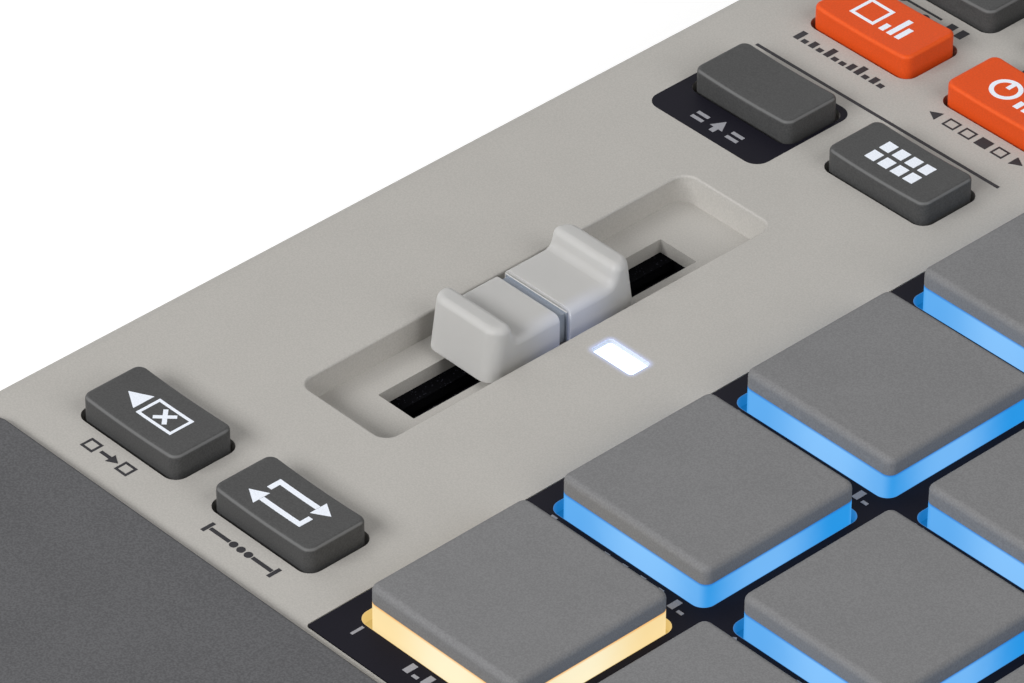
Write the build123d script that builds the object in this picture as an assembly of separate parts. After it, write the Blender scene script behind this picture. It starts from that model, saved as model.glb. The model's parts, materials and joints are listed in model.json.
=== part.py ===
from build123d import *

import os

# Compact pad sampler. Millimetres, +Z up, +Y to the rear, origin on the table under the middle of the case.

# Plan of the case, from the left and the front
left_strip = 59.6
right_margin = 8.95
front_margin = 4.7
upper_zone = 73.85

# Case shells
foot_height = 3.0
tray_height = 13.0
shell_height = 24.0
wall = 2.5
corner_radius = 8.0
edge_round = 3.0
tray_round = 2.0
lip_height = 2.2
lip_thickness = 1.2
slip_gap = 0.15

# Palm rest
rest_depth = 36.0
rest_gap = 1.32
rest_sink = 1.5
rest_rise = 1.0
rest_radius = 3.0
rest_round = 0.6
rest_clearance = 0.1

# Pads, bezel, light guide and sensor board
pad_count = 4
pad_opening = 26.15
pad_web = 3.85
opening_radius = 1.8
bezel_side = 2.65
bezel_front = 4.98
bezel_rear = 3.0
bezel_thickness = 1.6
bezel_ledge = 1.4
bezel_radius = 0.5
pad_gap = 0.95
pad_radius = 1.2
pad_rise = 4.8
pad_round = 0.9
pad_overlap = 0.8
pad_set_back = 0.25
collar_gap = 0.15
collar_sink = 0.4
pad_flange = 1.0
pad_travel = 0.8
stop_gap = 0.2
guide_thickness = 2.0
guide_rib = 2.5
board_thickness = 1.6

# Push buttons and their switches
button_columns = 6
button_pitch = 23.7
button_from_left = 20.4
button_width = 17.1
button_depth = 9.3
button_radius = 1.3
button_gap = 0.6
button_rise = 3.08
button_dish = 0.28
button_round = 0.4
button_overlap = 0.6
button_flange = 1.6
button_travel = 1.0
front_row_inset = 11.13
shift_row_inset = 11.95
effect_row_offset = 9.3
mode_row_offset = 15.3
switch_size = 6.0
switch_body = 3.5
switch_plunger = 1.7
power_radius = 4.0

# Fader
fader_from_bezel = 27.2
well_width = 15.45
well_depth = 3.7
well_floor = 2.0
well_radius = 2.0
well_round = 0.3
well_lean = 0.5
well_wall = 2.0
well_from_bezel_front = 29.58
well_from_bezel_rear = 30.2
slot_width = 6.4
slot_margin = 8.625
slot_radius = 0.15
cap_width = 11.7
cap_length = 24.9
cap_offset = -1.25
cap_bottom = 1.15
cap_saddle = 2.25
cap_ridge = 4.75
ridge_top = 2.75
ridge_foot = 4.4
ridge_draft = 1.1
cap_corner = 2.0
cap_round = 1.0
saddle_round = 1.2
pointer_width = 1.8
pointer_depth = 1.5
pointer_sink = 0.75
lever_width = 1.2
lever_length = 4.0
lever_socket = 2.5
lever_gap = 0.05
carriage_width = 6.0
carriage_length = 8.0
carriage_height = 3.0
strip_thickness = 0.4
strip_width = 11.0
strip_margin = 4.5
slit_gap = 0.4
slide_width = 9.0
slide_margin = 7.45
slide_height = 7.0
slide_wall = 1.0
near = 0.01

# Level lamp beside the fader
lamp_from_bezel = 12.7
lamp_from_bezel_front = 61.53
lamp_width = 7.05
lamp_depth = 3.35
lamp_radius = 0.5
lamp_sink = 0.65
lamp_flange = 1.2
lamp_gap = 0.05

# Knobs, data dial and their controls
knob_row_offset = 21.25
knob_count = 3
knob_radius = 8.0
knob_height = 11.0
knob_taper = 0.6
dial_from_right = 19.0
dial_radius = 14.0
dial_height = 12.0
dial_dimple = 6.5
dimple_depth = 1.8
knob_lift = 0.8
knob_round = 0.8
mark_width = 1.0
mark_depth = 0.4
spindle_radius = 3.0
spindle_gap = 0.05
spindle_hole = 0.7
bushing_wall = 1.2
bushing_gap = 0.3
control_width = 9.5
control_depth = 11.0
control_height = 6.8
control_floor = 1.5

# Display
display_from_middle = 27.5
display_from_rear = 31.5
window_width = 60.0
window_depth = 44.0
window_thickness = 1.2
window_radius = 2.0
window_ledge = 2.8
display_thickness = 4.0
display_gap = 0.2

# Boards, battery and fasteners
control_board_margin = 11.0
control_board_rear = 7.5
control_board_front = 9.3
control_board_left_width = 44.0
main_board_width = 150.0
main_board_depth = 95.0
main_board_from_rear = 17.5
main_board_height = 6.0
boss_inset = 6.0
battery_width = 110.0
battery_depth = 62.0
battery_height = 9.5
battery_from_front = 34.0
battery_rib = 4.0
battery_round = 2.0
battery_gap = 0.3
foot_radius = 7.0
foot_sink = 0.6
foot_inset_x = 25.0
foot_inset_y = 22.0
post_inset_x = 9.0
post_inset_y = 10.0
post_radius = 3.5
tray_post_radius = 4.5
rear_post_from_middle = 16.0
case_screw_radius = 1.5
case_screw_length = 20.0
case_head_radius = 2.8
case_head_height = 2.2
case_head_depth = 5.0
head_gap = 0.4
shank_gap = 0.05
board_post_radius = 2.75
board_post_from_column = 4.3
board_post_from_row = 14.0
board_post_behind_row = 9.3
board_post_before_row = 4.65
board_screw_radius = 1.25
board_screw_length = 6.5
board_head_radius = 2.2
board_head_height = 1.5

# Rear sockets
socket_from_middle = [-66.0, -46.0, 14.0, 34.0]
socket_lip_gap = 0.3
socket_width = 14.0
socket_depth = 16.0
socket_body = 13.0
socket_nose = 4.5
socket_bore = 3.2
socket_bore_length = 16.0
nose_gap = 0.05
usb_from_middle = 58.0
usb_width = 9.0
usb_height = 3.3
usb_length = 8.0
usb_wall = 0.3
usb_flange = 2.5
usb_flange_thickness = 1.0
usb_tongue_width = 6.7
usb_tongue = 0.7
usb_back = 1.0
usb_gap = 0.1

# Places worked out from the sizes above
pad_pitch = pad_opening + pad_web
pad_span = (pad_count - 1) * pad_pitch + pad_opening
pad_size = pad_opening - 2 * pad_gap
bezel_width = pad_span + 2 * bezel_side
bezel_depth = bezel_front + pad_span + bezel_rear
case_width = left_strip + bezel_width + right_margin
case_depth = front_margin + rest_depth + rest_gap + bezel_depth + upper_zone
case_left = -case_width / 2
case_right = case_width / 2
case_front = -case_depth / 2
case_rear = case_depth / 2

tray_bottom = foot_height
tray_floor = tray_bottom + wall
seam = tray_bottom + tray_height
lip_top = seam + lip_height
panel_top = seam + shell_height
panel_under = panel_top - wall

rest_width = case_width - 2 * front_margin
rest_y = case_front + front_margin + rest_depth / 2
bezel_x0 = case_left + left_strip
bezel_y0 = case_front + front_margin + rest_depth + rest_gap
bezel_x = bezel_x0 + bezel_width / 2
bezel_y = bezel_y0 + bezel_depth / 2
bezel_y1 = bezel_y0 + bezel_depth
bezel_under = panel_top - bezel_thickness
pad_places = [
    (
        bezel_x0 + bezel_side + pad_opening / 2 + column * pad_pitch,
        bezel_y0 + bezel_front + pad_opening / 2 + row * pad_pitch,
    )
    for row in range(pad_count)
    for column in range(pad_count)
]
pad_flange_top = bezel_under - stop_gap
pad_bottom = pad_flange_top - pad_flange
guide_top = pad_bottom - pad_travel - stop_gap
guide_under = guide_top - guide_thickness
guide_width = bezel_width + 2 * guide_rib
guide_depth = bezel_depth + 2 * guide_rib

columns = [case_left + button_from_left + i * button_pitch for i in range(button_columns)]
front_row = bezel_y0 + front_row_inset
shift_row = bezel_y1 - shift_row_inset
effect_row = bezel_y1 + effect_row_offset
mode_row = effect_row + mode_row_offset
knob_row = mode_row + knob_row_offset
button_places = {
    "erase_button": (columns[0], front_row),
    "repeat_button": (columns[1], front_row),
    "shift_button": (columns[0], shift_row),
    "bank_button": (columns[1], shift_row),
    "pad_effect_button": (columns[0], effect_row),
    "knob_effect_button": (columns[1], effect_row),
    "sample_button": (columns[2], effect_row),
    "pattern_button": (columns[0], mode_row),
    "tempo_button": (columns[1], mode_row),
    "menu_button": (columns[2], mode_row),
    "record_button": (columns[3], effect_row),
    "stop_button": (columns[4], effect_row),
    "play_button": (columns[5], effect_row),
}
dial_x = case_right - dial_from_right
power_place = (dial_x, mode_row)
button_flange_top = panel_under - stop_gap
button_bottom = button_flange_top - button_flange
switch_top = button_bottom - button_travel - stop_gap

fader_x = bezel_x0 - fader_from_bezel
well_length = bezel_depth - well_from_bezel_front - well_from_bezel_rear
well_y = bezel_y0 + well_from_bezel_front + well_length / 2
slot_length = well_length - 2 * slot_margin
slide_length = slot_length + 2 * slide_margin
well_bottom = panel_top - well_depth
well_under = well_bottom - well_floor
cap_y = well_y + cap_offset
slide_top = well_under - strip_thickness
control_top = slide_top - slide_height
control_under = control_top - board_thickness
lamp_x = bezel_x0 - lamp_from_bezel
lamp_y = bezel_y0 + lamp_from_bezel_front

knob_places = {f"tone_knob_{i + 1}": (columns[i], knob_row) for i in range(knob_count)}
spindle_bottom = control_top + control_floor + stop_gap
display_x = display_from_middle
display_y = case_rear - display_from_rear
window_under = panel_top - window_thickness

main_board_y = case_rear - main_board_from_rear - main_board_depth / 2
main_board_under = tray_floor + main_board_height
main_board_top = main_board_under + board_thickness
battery_y = case_front + battery_from_front + battery_depth / 2
case_posts = [
    (case_left + post_inset_x, case_front + post_inset_y),
    (0, case_front + post_inset_y),
    (case_right - post_inset_x, case_front + post_inset_y),
    (case_left + post_inset_x, case_rear - post_inset_y),
    (-rear_post_from_middle, case_rear - post_inset_y),
    (case_right - post_inset_x, case_rear - post_inset_y),
]
case_head_top = tray_bottom + case_head_depth
board_posts = [
    (columns[0] - board_post_from_column, front_row + board_post_from_row),
    (lamp_x, front_row + board_post_from_row),
    (columns[0] - board_post_from_column, shift_row - board_post_from_row),
    ((columns[0] + columns[1]) / 2, mode_row + board_post_behind_row),
    ((columns[1] + columns[2]) / 2, mode_row + board_post_behind_row),
    ((columns[5] + dial_x) / 2, mode_row - board_post_before_row),
]
main_bosses = [
    (side * (main_board_width / 2 - boss_inset), main_board_y + end * (main_board_depth / 2 - boss_inset))
    for side in (-1, 1)
    for end in (-1, 1)
]
foot_places = [
    (side * (case_right - foot_inset_x), end * (case_rear - foot_inset_y))
    for side in (-1, 1)
    for end in (-1, 1)
]
socket_z = lip_top + socket_lip_gap + socket_body / 2


def plate(width, depth, radius, bottom, top, x=0.0, y=0.0):
    """Upright block with rounded corners between two heights."""
    outline = RectangleRounded(width, depth, radius)
    return Pos(x, y, bottom) * extrude(outline, top - bottom)


def block(width, depth, bottom, top, x=0.0, y=0.0):
    """Upright square-cornered block between two heights."""
    return Pos(x, y, (bottom + top) / 2) * Box(width, depth, top - bottom)


def post(radius, bottom, top, x=0.0, y=0.0):
    """Upright cylinder between two heights."""
    return Pos(x, y, (bottom + top) / 2) * Cylinder(radius, top - bottom)


def along_y(shape, x, y, z):
    """Lay a shape drawn along +Z so that it runs towards the rear."""
    return Pos(x, y, z) * Rot(-90, 0, 0) * shape


def round_top(shape, radius):
    """Round the edges of the highest face."""
    return fillet(shape.faces().sort_by(Axis.Z)[-1].edges(), radius)


def one_solid(shape):
    """The single solid left after fusing and cutting."""
    return shape.solids()[0] if len(shape.solids()) == 1 else shape


def top_panel():
    """Light upper shell: the control surface, its side walls, wells, ribs and posts."""
    outer = round_top(plate(case_width, case_depth, corner_radius, seam, panel_top), edge_round)
    cavity = plate(case_width - 2 * wall, case_depth - 2 * wall, corner_radius - wall, seam, panel_under)
    well = plate(
        well_width + 2 * well_wall, well_length + 2 * well_wall, well_radius + well_wall,
        well_under, panel_under, fader_x, well_y,
    )
    rib = plate(guide_width, guide_depth, bezel_radius, guide_top, panel_under, bezel_x, bezel_y)
    rib_hole = plate(bezel_width, bezel_depth, bezel_radius, guide_top, panel_under, bezel_x, bezel_y)
    posts = [post(post_radius, lip_top, panel_under, x, y) for x, y in case_posts]
    posts += [post(board_post_radius, control_top, panel_under, x, y) for x, y in board_posts]
    shell = outer - cavity + [well, rib - rib_hole] + posts
    shell = shell - surface_cuts() - wall_cuts() - post_cuts()
    level = shell.edges().filter_by_position(Axis.Z, panel_top - near, panel_top + near)
    rim = [
        edge
        for edge in level
        if abs(edge.center().X - fader_x) < well_width / 2 + near
        and abs(edge.center().Y - well_y) < well_length / 2 + near
    ]
    return one_solid(fillet(rim, well_round))


def surface_cuts():
    """Pockets and holes in the control surface."""
    rest_pocket = plate(
        rest_width + 2 * rest_clearance, rest_depth + 2 * rest_clearance, rest_radius + rest_clearance,
        panel_top - rest_sink, panel_top, 0, rest_y,
    )
    bezel_pocket = plate(
        bezel_width + 2 * slip_gap, bezel_depth + 2 * slip_gap, bezel_radius + slip_gap,
        bezel_under, panel_top, bezel_x, bezel_y,
    )
    bezel_hole = block(
        bezel_width - 2 * bezel_ledge, bezel_depth - 2 * bezel_ledge, panel_under, panel_top, bezel_x, bezel_y
    )
    window_pocket = plate(
        window_width + 2 * slip_gap, window_depth + 2 * slip_gap, window_radius + slip_gap,
        window_under, panel_top, display_x, display_y,
    )
    window_hole = block(
        window_width - 2 * window_ledge, window_depth - 2 * window_ledge,
        panel_under, panel_top, display_x, display_y,
    )
    slot = plate(slot_width, slot_length, slot_radius, well_under, well_bottom, fader_x, well_y)
    lamp = plate(
        lamp_width + 2 * lamp_gap, lamp_depth + 2 * lamp_gap, lamp_radius + lamp_gap,
        panel_under, panel_top, lamp_x, lamp_y,
    )
    keys = [
        plate(
            button_width + 2 * button_gap, button_depth + 2 * button_gap, button_radius + button_gap,
            panel_under, panel_top, x, y,
        )
        for x, y in button_places.values()
    ]
    keys.append(post(power_radius + button_gap, panel_under, panel_top, *power_place))
    spindles = [
        post(spindle_radius + spindle_hole, panel_under, panel_top, x, y)
        for x, y in [*knob_places.values(), (dial_x, knob_row)]
    ]
    pockets = [rest_pocket, bezel_pocket, window_pocket, well_pocket()]
    return pockets + [bezel_hole, window_hole, slot, lamp] + keys + spindles


def well_pocket():
    """Pocket that the fader runs in, longer at its top because its end walls lean outwards."""
    top = well_length / 2
    foot = top - well_lean
    points = [(-foot, well_bottom), (foot, well_bottom), (top, panel_top), (-top, panel_top)]
    profile = Plane.YZ * make_face(Polyline(*points, close=True))
    body = Pos(fader_x - well_width / 2, well_y, 0) * extrude(profile, well_width)
    corners = [edge for edge in body.edges() if edge.bounding_box().size.Z > well_depth - near]
    return fillet(corners, well_radius)


def wall_cuts():
    """Holes in the rear wall for the sockets."""
    middle = case_rear - wall / 2
    noses = [
        along_y(Cylinder(socket_nose + nose_gap, wall), x, middle, socket_z) for x in socket_from_middle
    ]
    usb = RectangleRounded(usb_width + 2 * usb_gap, usb_height + 2 * usb_gap, usb_height / 2 + usb_gap - near)
    return noses + [along_y(extrude(usb, wall), usb_from_middle, case_rear - wall, socket_z)]


def post_cuts():
    """Pilot holes in the screw posts."""
    case_end = case_head_top + case_screw_length + head_gap
    holes = [post(case_screw_radius + shank_gap, lip_top, case_end, x, y) for x, y in case_posts]
    board_end = control_under + board_screw_length + head_gap
    holes += [post(board_screw_radius + shank_gap, control_top, board_end, x, y) for x, y in board_posts]
    return holes


def bottom_case():
    """Lower tray with its lip, screw posts, board bosses and battery ribs."""
    outer = plate(case_width, case_depth, corner_radius, tray_bottom, seam)
    outer = fillet(outer.faces().sort_by(Axis.Z)[0].edges(), tray_round)
    lip_width = case_width - 2 * (wall + slip_gap)
    lip_depth = case_depth - 2 * (wall + slip_gap)
    lip_radius = corner_radius - wall - slip_gap
    lip = plate(lip_width, lip_depth, lip_radius, seam, lip_top)
    cavity = plate(
        lip_width - 2 * lip_thickness, lip_depth - 2 * lip_thickness, lip_radius - lip_thickness,
        tray_floor, lip_top,
    )
    posts = [post(tray_post_radius, tray_floor, lip_top, x, y) for x, y in case_posts]
    posts += [post(board_post_radius, tray_floor, main_board_under, x, y) for x, y in main_bosses]
    rib_y = battery_depth / 2 + battery_gap + wall / 2
    ribs = [
        block(battery_width, wall, tray_floor, tray_floor + battery_rib, 0, battery_y + end * rib_y)
        for end in (-1, 1)
    ]
    heads = [post(case_head_radius + head_gap, tray_bottom, case_head_top, x, y) for x, y in case_posts]
    shanks = [post(case_screw_radius + shank_gap, case_head_top, lip_top, x, y) for x, y in case_posts]
    bosses = [
        post(board_screw_radius + shank_gap, tray_floor, main_board_under, x, y) for x, y in main_bosses
    ]
    feet = [post(foot_radius, tray_bottom, tray_bottom + foot_sink, x, y) for x, y in foot_places]
    return one_solid(outer + lip - cavity + posts + ribs - heads - shanks - bosses - feet)


def palm_rest():
    """Dark padded plate that stands a little above the panel in front of the pads."""
    body = plate(
        rest_width, rest_depth, rest_radius, panel_top - rest_sink, panel_top + rest_rise, 0, rest_y
    )
    return round_top(body, rest_round)


def pad_bezel():
    """Dark plate, flush with the panel, with one opening for each pad."""
    body = plate(bezel_width, bezel_depth, bezel_radius, bezel_under, panel_top, bezel_x, bezel_y)
    openings = [
        plate(pad_opening, pad_opening, opening_radius, bezel_under, panel_top, x, y) for x, y in pad_places
    ]
    return one_solid(body - openings)


def pad(x, y):
    """Square silicone pad with a collar that fills its opening and a flange that holds it under the bezel."""
    body = plate(
        pad_size, pad_size, pad_radius, pad_flange_top, panel_top + pad_rise, x, y + pad_set_back
    )
    inside = pad_opening - 2 * collar_gap
    collar = plate(
        inside, inside, opening_radius - collar_gap, pad_flange_top, panel_top - collar_sink, x, y
    )
    side = pad_opening + 2 * pad_overlap
    flange = plate(side, side, opening_radius, pad_bottom, pad_flange_top, x, y)
    return one_solid(round_top(body, pad_round) + collar + flange)


def guide_plate(bottom, top):
    """Plate under all the pads, as wide as the rib that it is fixed to."""
    return plate(guide_width, guide_depth, bezel_radius, bottom, top, bezel_x, bezel_y)


def button(x, y):
    """Rectangular push button, dished along its length, with a flange that stops under the panel."""
    top = panel_top + button_rise
    body = plate(button_width, button_depth, button_radius, button_flange_top, top, x, y)
    roll = (button_width**2 / 4 + button_dish**2) / (2 * button_dish)
    body -= along_y(Cylinder(roll, 2 * button_depth), x, y, top + roll - button_dish)
    grow = 2 * (button_gap + button_overlap)
    flange = plate(
        button_width + grow, button_depth + grow, button_radius, button_bottom, button_flange_top, x, y
    )
    return one_solid(round_top(body, button_round) + flange)


def power_button():
    """Round push button that switches the sampler on and off."""
    body = post(power_radius, button_flange_top, panel_top + button_rise, *power_place)
    flange = post(
        power_radius + button_gap + button_overlap, button_bottom, button_flange_top, *power_place
    )
    return one_solid(round_top(body, button_round) + flange)


def key_switches():
    """One push switch on the control board under each button."""
    switches = []
    for x, y in [*button_places.values(), power_place]:
        body = block(switch_size, switch_size, control_top, control_top + switch_body, x, y)
        switches.append(body + post(switch_plunger, control_top + switch_body, switch_top, x, y))
    return switches


def cap_profile():
    """Side outline of the fader cap: two raised ends and a saddle between them."""
    low = well_bottom + cap_bottom
    end = cap_length / 2
    top_y = end - ridge_draft - ridge_top
    foot_y = end - ridge_foot
    points = [
        (-end, low),
        (end, low),
        (end - ridge_draft, panel_top + cap_ridge),
        (top_y, panel_top + cap_ridge),
        (foot_y, panel_top + cap_saddle),
        (-foot_y, panel_top + cap_saddle),
        (-top_y, panel_top + cap_ridge),
        (ridge_draft - end, panel_top + cap_ridge),
    ]
    return make_face(Polyline(*points, close=True))


def pointer_band(sink):
    """Band that wraps over the middle of the cap, set below the cap's surface by the given depth."""
    low = well_bottom + cap_bottom
    top = panel_top + cap_saddle
    outside = block(cap_width - 2 * sink, pointer_width, low, top - sink, fader_x, cap_y)
    inside = block(cap_width - 2 * pointer_depth, pointer_width, low, top - pointer_depth, fader_x, cap_y)
    return outside - inside


def fader_cap():
    """Sliding cap with raised ends, a groove for its pointer and a socket for the lever."""
    low = well_bottom + cap_bottom
    saddle = panel_top + cap_saddle
    profile = Plane.YZ * cap_profile()
    body = Pos(fader_x - cap_width / 2, cap_y, 0) * extrude(profile, cap_width)
    corners = [edge for edge in body.edges() if edge.bounding_box().size.Z > cap_ridge - cap_saddle + near]
    body = fillet(corners, cap_corner)
    feet_of_ridges = body.edges().filter_by(Axis.X).filter_by_position(Axis.Z, saddle - near, saddle + near)
    body = fillet(feet_of_ridges, saddle_round)
    rim = [edge for edge in body.edges() if edge.center().Z > saddle - near]
    body = fillet(rim, cap_round)
    socket = block(
        lever_width + 2 * lever_gap, lever_length + 2 * lever_gap, low, low + lever_socket, fader_x, cap_y
    )
    return one_solid(body - pointer_band(0) - socket)


def fader_lever():
    """Blade that carries the cap, with the carriage that runs inside the slide control."""
    top = well_bottom + cap_bottom + lever_socket - lever_gap
    middle = slide_top - slide_height / 2
    carriage = block(
        carriage_width, carriage_length, middle - carriage_height / 2, middle + carriage_height / 2,
        fader_x, cap_y,
    )
    return one_solid(block(lever_width, lever_length, middle, top, fader_x, cap_y) + carriage)


def fader_dust_strip():
    """Black strip under the slot, slit along its middle for the lever."""
    body = block(strip_width, slot_length + 2 * strip_margin, slide_top, well_under, fader_x, well_y)
    slit = block(lever_width + 2 * slit_gap, slot_length, slide_top, well_under, fader_x, well_y)
    return body - slit


def fader_slide():
    """Hollow slide control below the panel, open along its top for the lever."""
    body = block(slide_width, slide_length, control_top, slide_top, fader_x, well_y)
    hollow = block(
        slide_width - 2 * slide_wall, slide_length - 2 * slide_wall,
        control_top + slide_wall, slide_top - slide_wall, fader_x, well_y,
    )
    slit = block(lever_width + 2 * slit_gap, slot_length, slide_top - slide_wall, slide_top, fader_x, well_y)
    return body - hollow - slit


def level_lamp():
    """Small sunken window that is lit from behind, with a flange under the panel."""
    body = plate(lamp_width, lamp_depth, lamp_radius, panel_under, panel_top - lamp_sink, lamp_x, lamp_y)
    flange = plate(
        lamp_width + 2 * lamp_flange, lamp_depth + 2 * lamp_flange, lamp_radius,
        panel_under - lamp_flange, panel_under, lamp_x, lamp_y,
    )
    return one_solid(body + flange)


def turned_knob(x, y, radius, height):
    """Tapered knob with a pointer groove and the spindle that it turns on."""
    bottom = panel_top + knob_lift
    body = Pos(x, y, bottom + height / 2) * Cone(radius, radius - knob_taper, height)
    body = round_top(body, knob_round)
    mark = block(mark_width, radius, bottom + height - mark_depth, bottom + height, x, y + radius / 2)
    return one_solid(body - mark + post(spindle_radius, spindle_bottom, bottom, x, y))


def data_dial():
    """Large endless dial with a finger dimple and the spindle that it turns on."""
    bottom = panel_top + knob_lift
    body = Pos(dial_x, knob_row, bottom + dial_height / 2) * Cone(
        dial_radius, dial_radius - knob_taper, dial_height
    )
    body = round_top(body, knob_round)
    ball = (dial_dimple**2 + dimple_depth**2) / (2 * dimple_depth)
    dimple_y = knob_row + dial_radius - knob_taper - knob_round - dial_dimple
    dimple = Pos(dial_x, dimple_y, bottom + dial_height + ball - dimple_depth) * Sphere(ball)
    return one_solid(body - dimple + post(spindle_radius, spindle_bottom, bottom, dial_x, knob_row))


def turn_controls():
    """Rotary controls on the control board, one under each knob and the dial."""
    controls = []
    bushing_radius = spindle_radius + bushing_wall
    for x, y in [*knob_places.values(), (dial_x, knob_row)]:
        body = block(control_width, control_depth, control_top, control_top + control_height, x, y)
        bushing = post(bushing_radius, control_top + control_height, panel_under - bushing_gap, x, y)
        bore = post(
            spindle_radius + spindle_gap, control_top + control_floor, panel_under - bushing_gap, x, y
        )
        controls.append(body + bushing - bore)
    return controls


def display_window():
    """Clear cover of the display, flush with the panel."""
    return plate(window_width, window_depth, window_radius, window_under, panel_top, display_x, display_y)


def display_module():
    """Screen that fills the hole under its cover."""
    grow = 2 * (window_ledge + display_gap)
    return block(
        window_width - grow, window_depth - grow,
        window_under - display_thickness, window_under, display_x, display_y,
    )


def control_board():
    """Board under the buttons, the fader and the knobs, cut away below the pads."""
    left = case_left + control_board_margin
    right = case_right - control_board_margin
    front = front_row - control_board_front
    rear = knob_row + control_board_rear
    strip = block(
        control_board_left_width, rear - front, control_under, control_top,
        left + control_board_left_width / 2, (front + rear) / 2,
    )
    upper_front = effect_row - control_board_front
    upper = block(
        right - left, rear - upper_front, control_under, control_top,
        (left + right) / 2, (upper_front + rear) / 2,
    )
    holes = [post(board_screw_radius + shank_gap, control_under, control_top, x, y) for x, y in board_posts]
    return one_solid(strip + upper - holes)


def main_board():
    """Processor board on the bosses of the tray."""
    body = block(main_board_width, main_board_depth, main_board_under, main_board_top, 0, main_board_y)
    holes = [
        post(board_screw_radius + shank_gap, main_board_under, main_board_top, x, y) for x, y in main_bosses
    ]
    return one_solid(body - holes)


def battery_pack():
    """Flat battery between the two ribs of the tray."""
    body = block(
        battery_width, battery_depth, tray_floor, tray_floor + battery_height, 0, battery_y
    )
    return fillet(body.edges().filter_by(Axis.X), battery_round)


def feet():
    """Rubber feet glued into shallow round seats."""
    return [post(foot_radius - slip_gap, 0, tray_bottom + foot_sink, x, y) for x, y in foot_places]


def case_screws():
    """Screws that hold the tray to the upper shell."""
    screws = []
    for x, y in case_posts:
        head = post(case_head_radius, case_head_top - case_head_height, case_head_top, x, y)
        shank = post(case_screw_radius, case_head_top, case_head_top + case_screw_length, x, y)
        screws.append(head + shank)
    return screws


def board_screws():
    """Screws that hold the control board from below and the main board from above."""
    screws = []
    for x, y in board_posts:
        head = post(board_head_radius, control_under - board_head_height, control_under, x, y)
        shank = post(board_screw_radius, control_under, control_under + board_screw_length, x, y)
        screws.append(head + shank)
    for x, y in main_bosses:
        head = post(board_head_radius, main_board_top, main_board_top + board_head_height, x, y)
        shank = post(board_screw_radius, main_board_top - board_screw_length, main_board_top, x, y)
        screws.append(head + shank)
    return screws


def audio_sockets():
    """Quarter-inch sockets behind the rear wall, with noses that end flush with it."""
    sockets = []
    for x in socket_from_middle:
        inner = case_rear - wall
        body = Pos(x, inner - socket_depth / 2, socket_z) * Box(socket_width, socket_depth, socket_body)
        nose = along_y(Cylinder(socket_nose, wall), x, case_rear - wall / 2, socket_z)
        bore = along_y(
            Cylinder(socket_bore, socket_bore_length), x, case_rear - socket_bore_length / 2, socket_z
        )
        sockets.append(body + nose - bore)
    return sockets


def usb_socket():
    """Metal shell with a contact tongue, fixed to the rear wall by its flange."""
    back = case_rear - usb_length
    shell = extrude(RectangleRounded(usb_width, usb_height, usb_height / 2 - near), usb_length)
    inside_height = usb_height - 2 * usb_wall
    inside = RectangleRounded(usb_width - 2 * usb_wall, inside_height, inside_height / 2 - near)
    hollow = Pos(0, 0, usb_back) * extrude(inside, usb_length - usb_back)
    flange = Pos(0, 0, usb_length - wall - usb_flange_thickness / 2) * Box(
        usb_width + 2 * usb_flange, usb_height + 2 * usb_flange, usb_flange_thickness
    )
    tongue = Pos(0, 0, (usb_back + usb_length - wall) / 2) * Box(
        usb_tongue_width, usb_tongue, usb_length - wall - usb_back
    )
    body = shell + flange - hollow + tongue
    return one_solid(along_y(body, usb_from_middle, back, socket_z))


def all_parts():
    """Every sub-part by the name of its node."""
    parts = {
        "top_panel": top_panel(),
        "bottom_case": bottom_case(),
        "palm_rest": palm_rest(),
        "pad_bezel": pad_bezel(),
        "pad_light_guide": guide_plate(guide_under, guide_top),
        "pad_sensor_board": guide_plate(guide_under - board_thickness, guide_under),
    }
    for number, (x, y) in enumerate(pad_places, 1):
        parts[f"pad_{number:02d}"] = pad(x, y)
    for name, (x, y) in button_places.items():
        parts[name] = button(x, y)
    parts["power_button"] = power_button()
    parts["key_switches"] = key_switches()
    parts["fader_cap"] = fader_cap()
    parts["fader_pointer"] = pointer_band(pointer_sink)
    parts["fader_lever"] = fader_lever()
    parts["fader_dust_strip"] = fader_dust_strip()
    parts["fader_slide"] = fader_slide()
    parts["level_lamp"] = level_lamp()
    for name, (x, y) in knob_places.items():
        parts[name] = turned_knob(x, y, knob_radius, knob_height)
    parts["data_dial"] = data_dial()
    parts["turn_controls"] = turn_controls()
    parts["display_window"] = display_window()
    parts["display_module"] = display_module()
    parts["control_board"] = control_board()
    parts["main_board"] = main_board()
    parts["battery_pack"] = battery_pack()
    parts["feet"] = feet()
    parts["case_screws"] = case_screws()
    parts["board_screws"] = board_screws()
    parts["audio_sockets"] = audio_sockets()
    parts["usb_socket"] = usb_socket()
    return parts


os.makedirs("parts", exist_ok=True)
for node, shape in all_parts().items():
    solids = shape if isinstance(shape, list) else [shape]
    pieces = [solid for item in solids for solid in item.solids()]
    export_step(pieces[0] if len(pieces) == 1 else Compound(children=pieces), f"parts/{node}.step")
print(f"case {case_width:.2f} wide, {case_depth:.2f} deep, panel at {panel_top:.2f}")
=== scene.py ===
"""Compact pad sampler: its looks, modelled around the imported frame."""

import json
import math
from typing import NamedTuple

import bmesh
import bpy
from bpy.props import FloatProperty, FloatVectorProperty, IntProperty, PointerProperty
from bpy.types import Operator, Panel, PropertyGroup
from mathutils import Matrix, Vector

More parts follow.
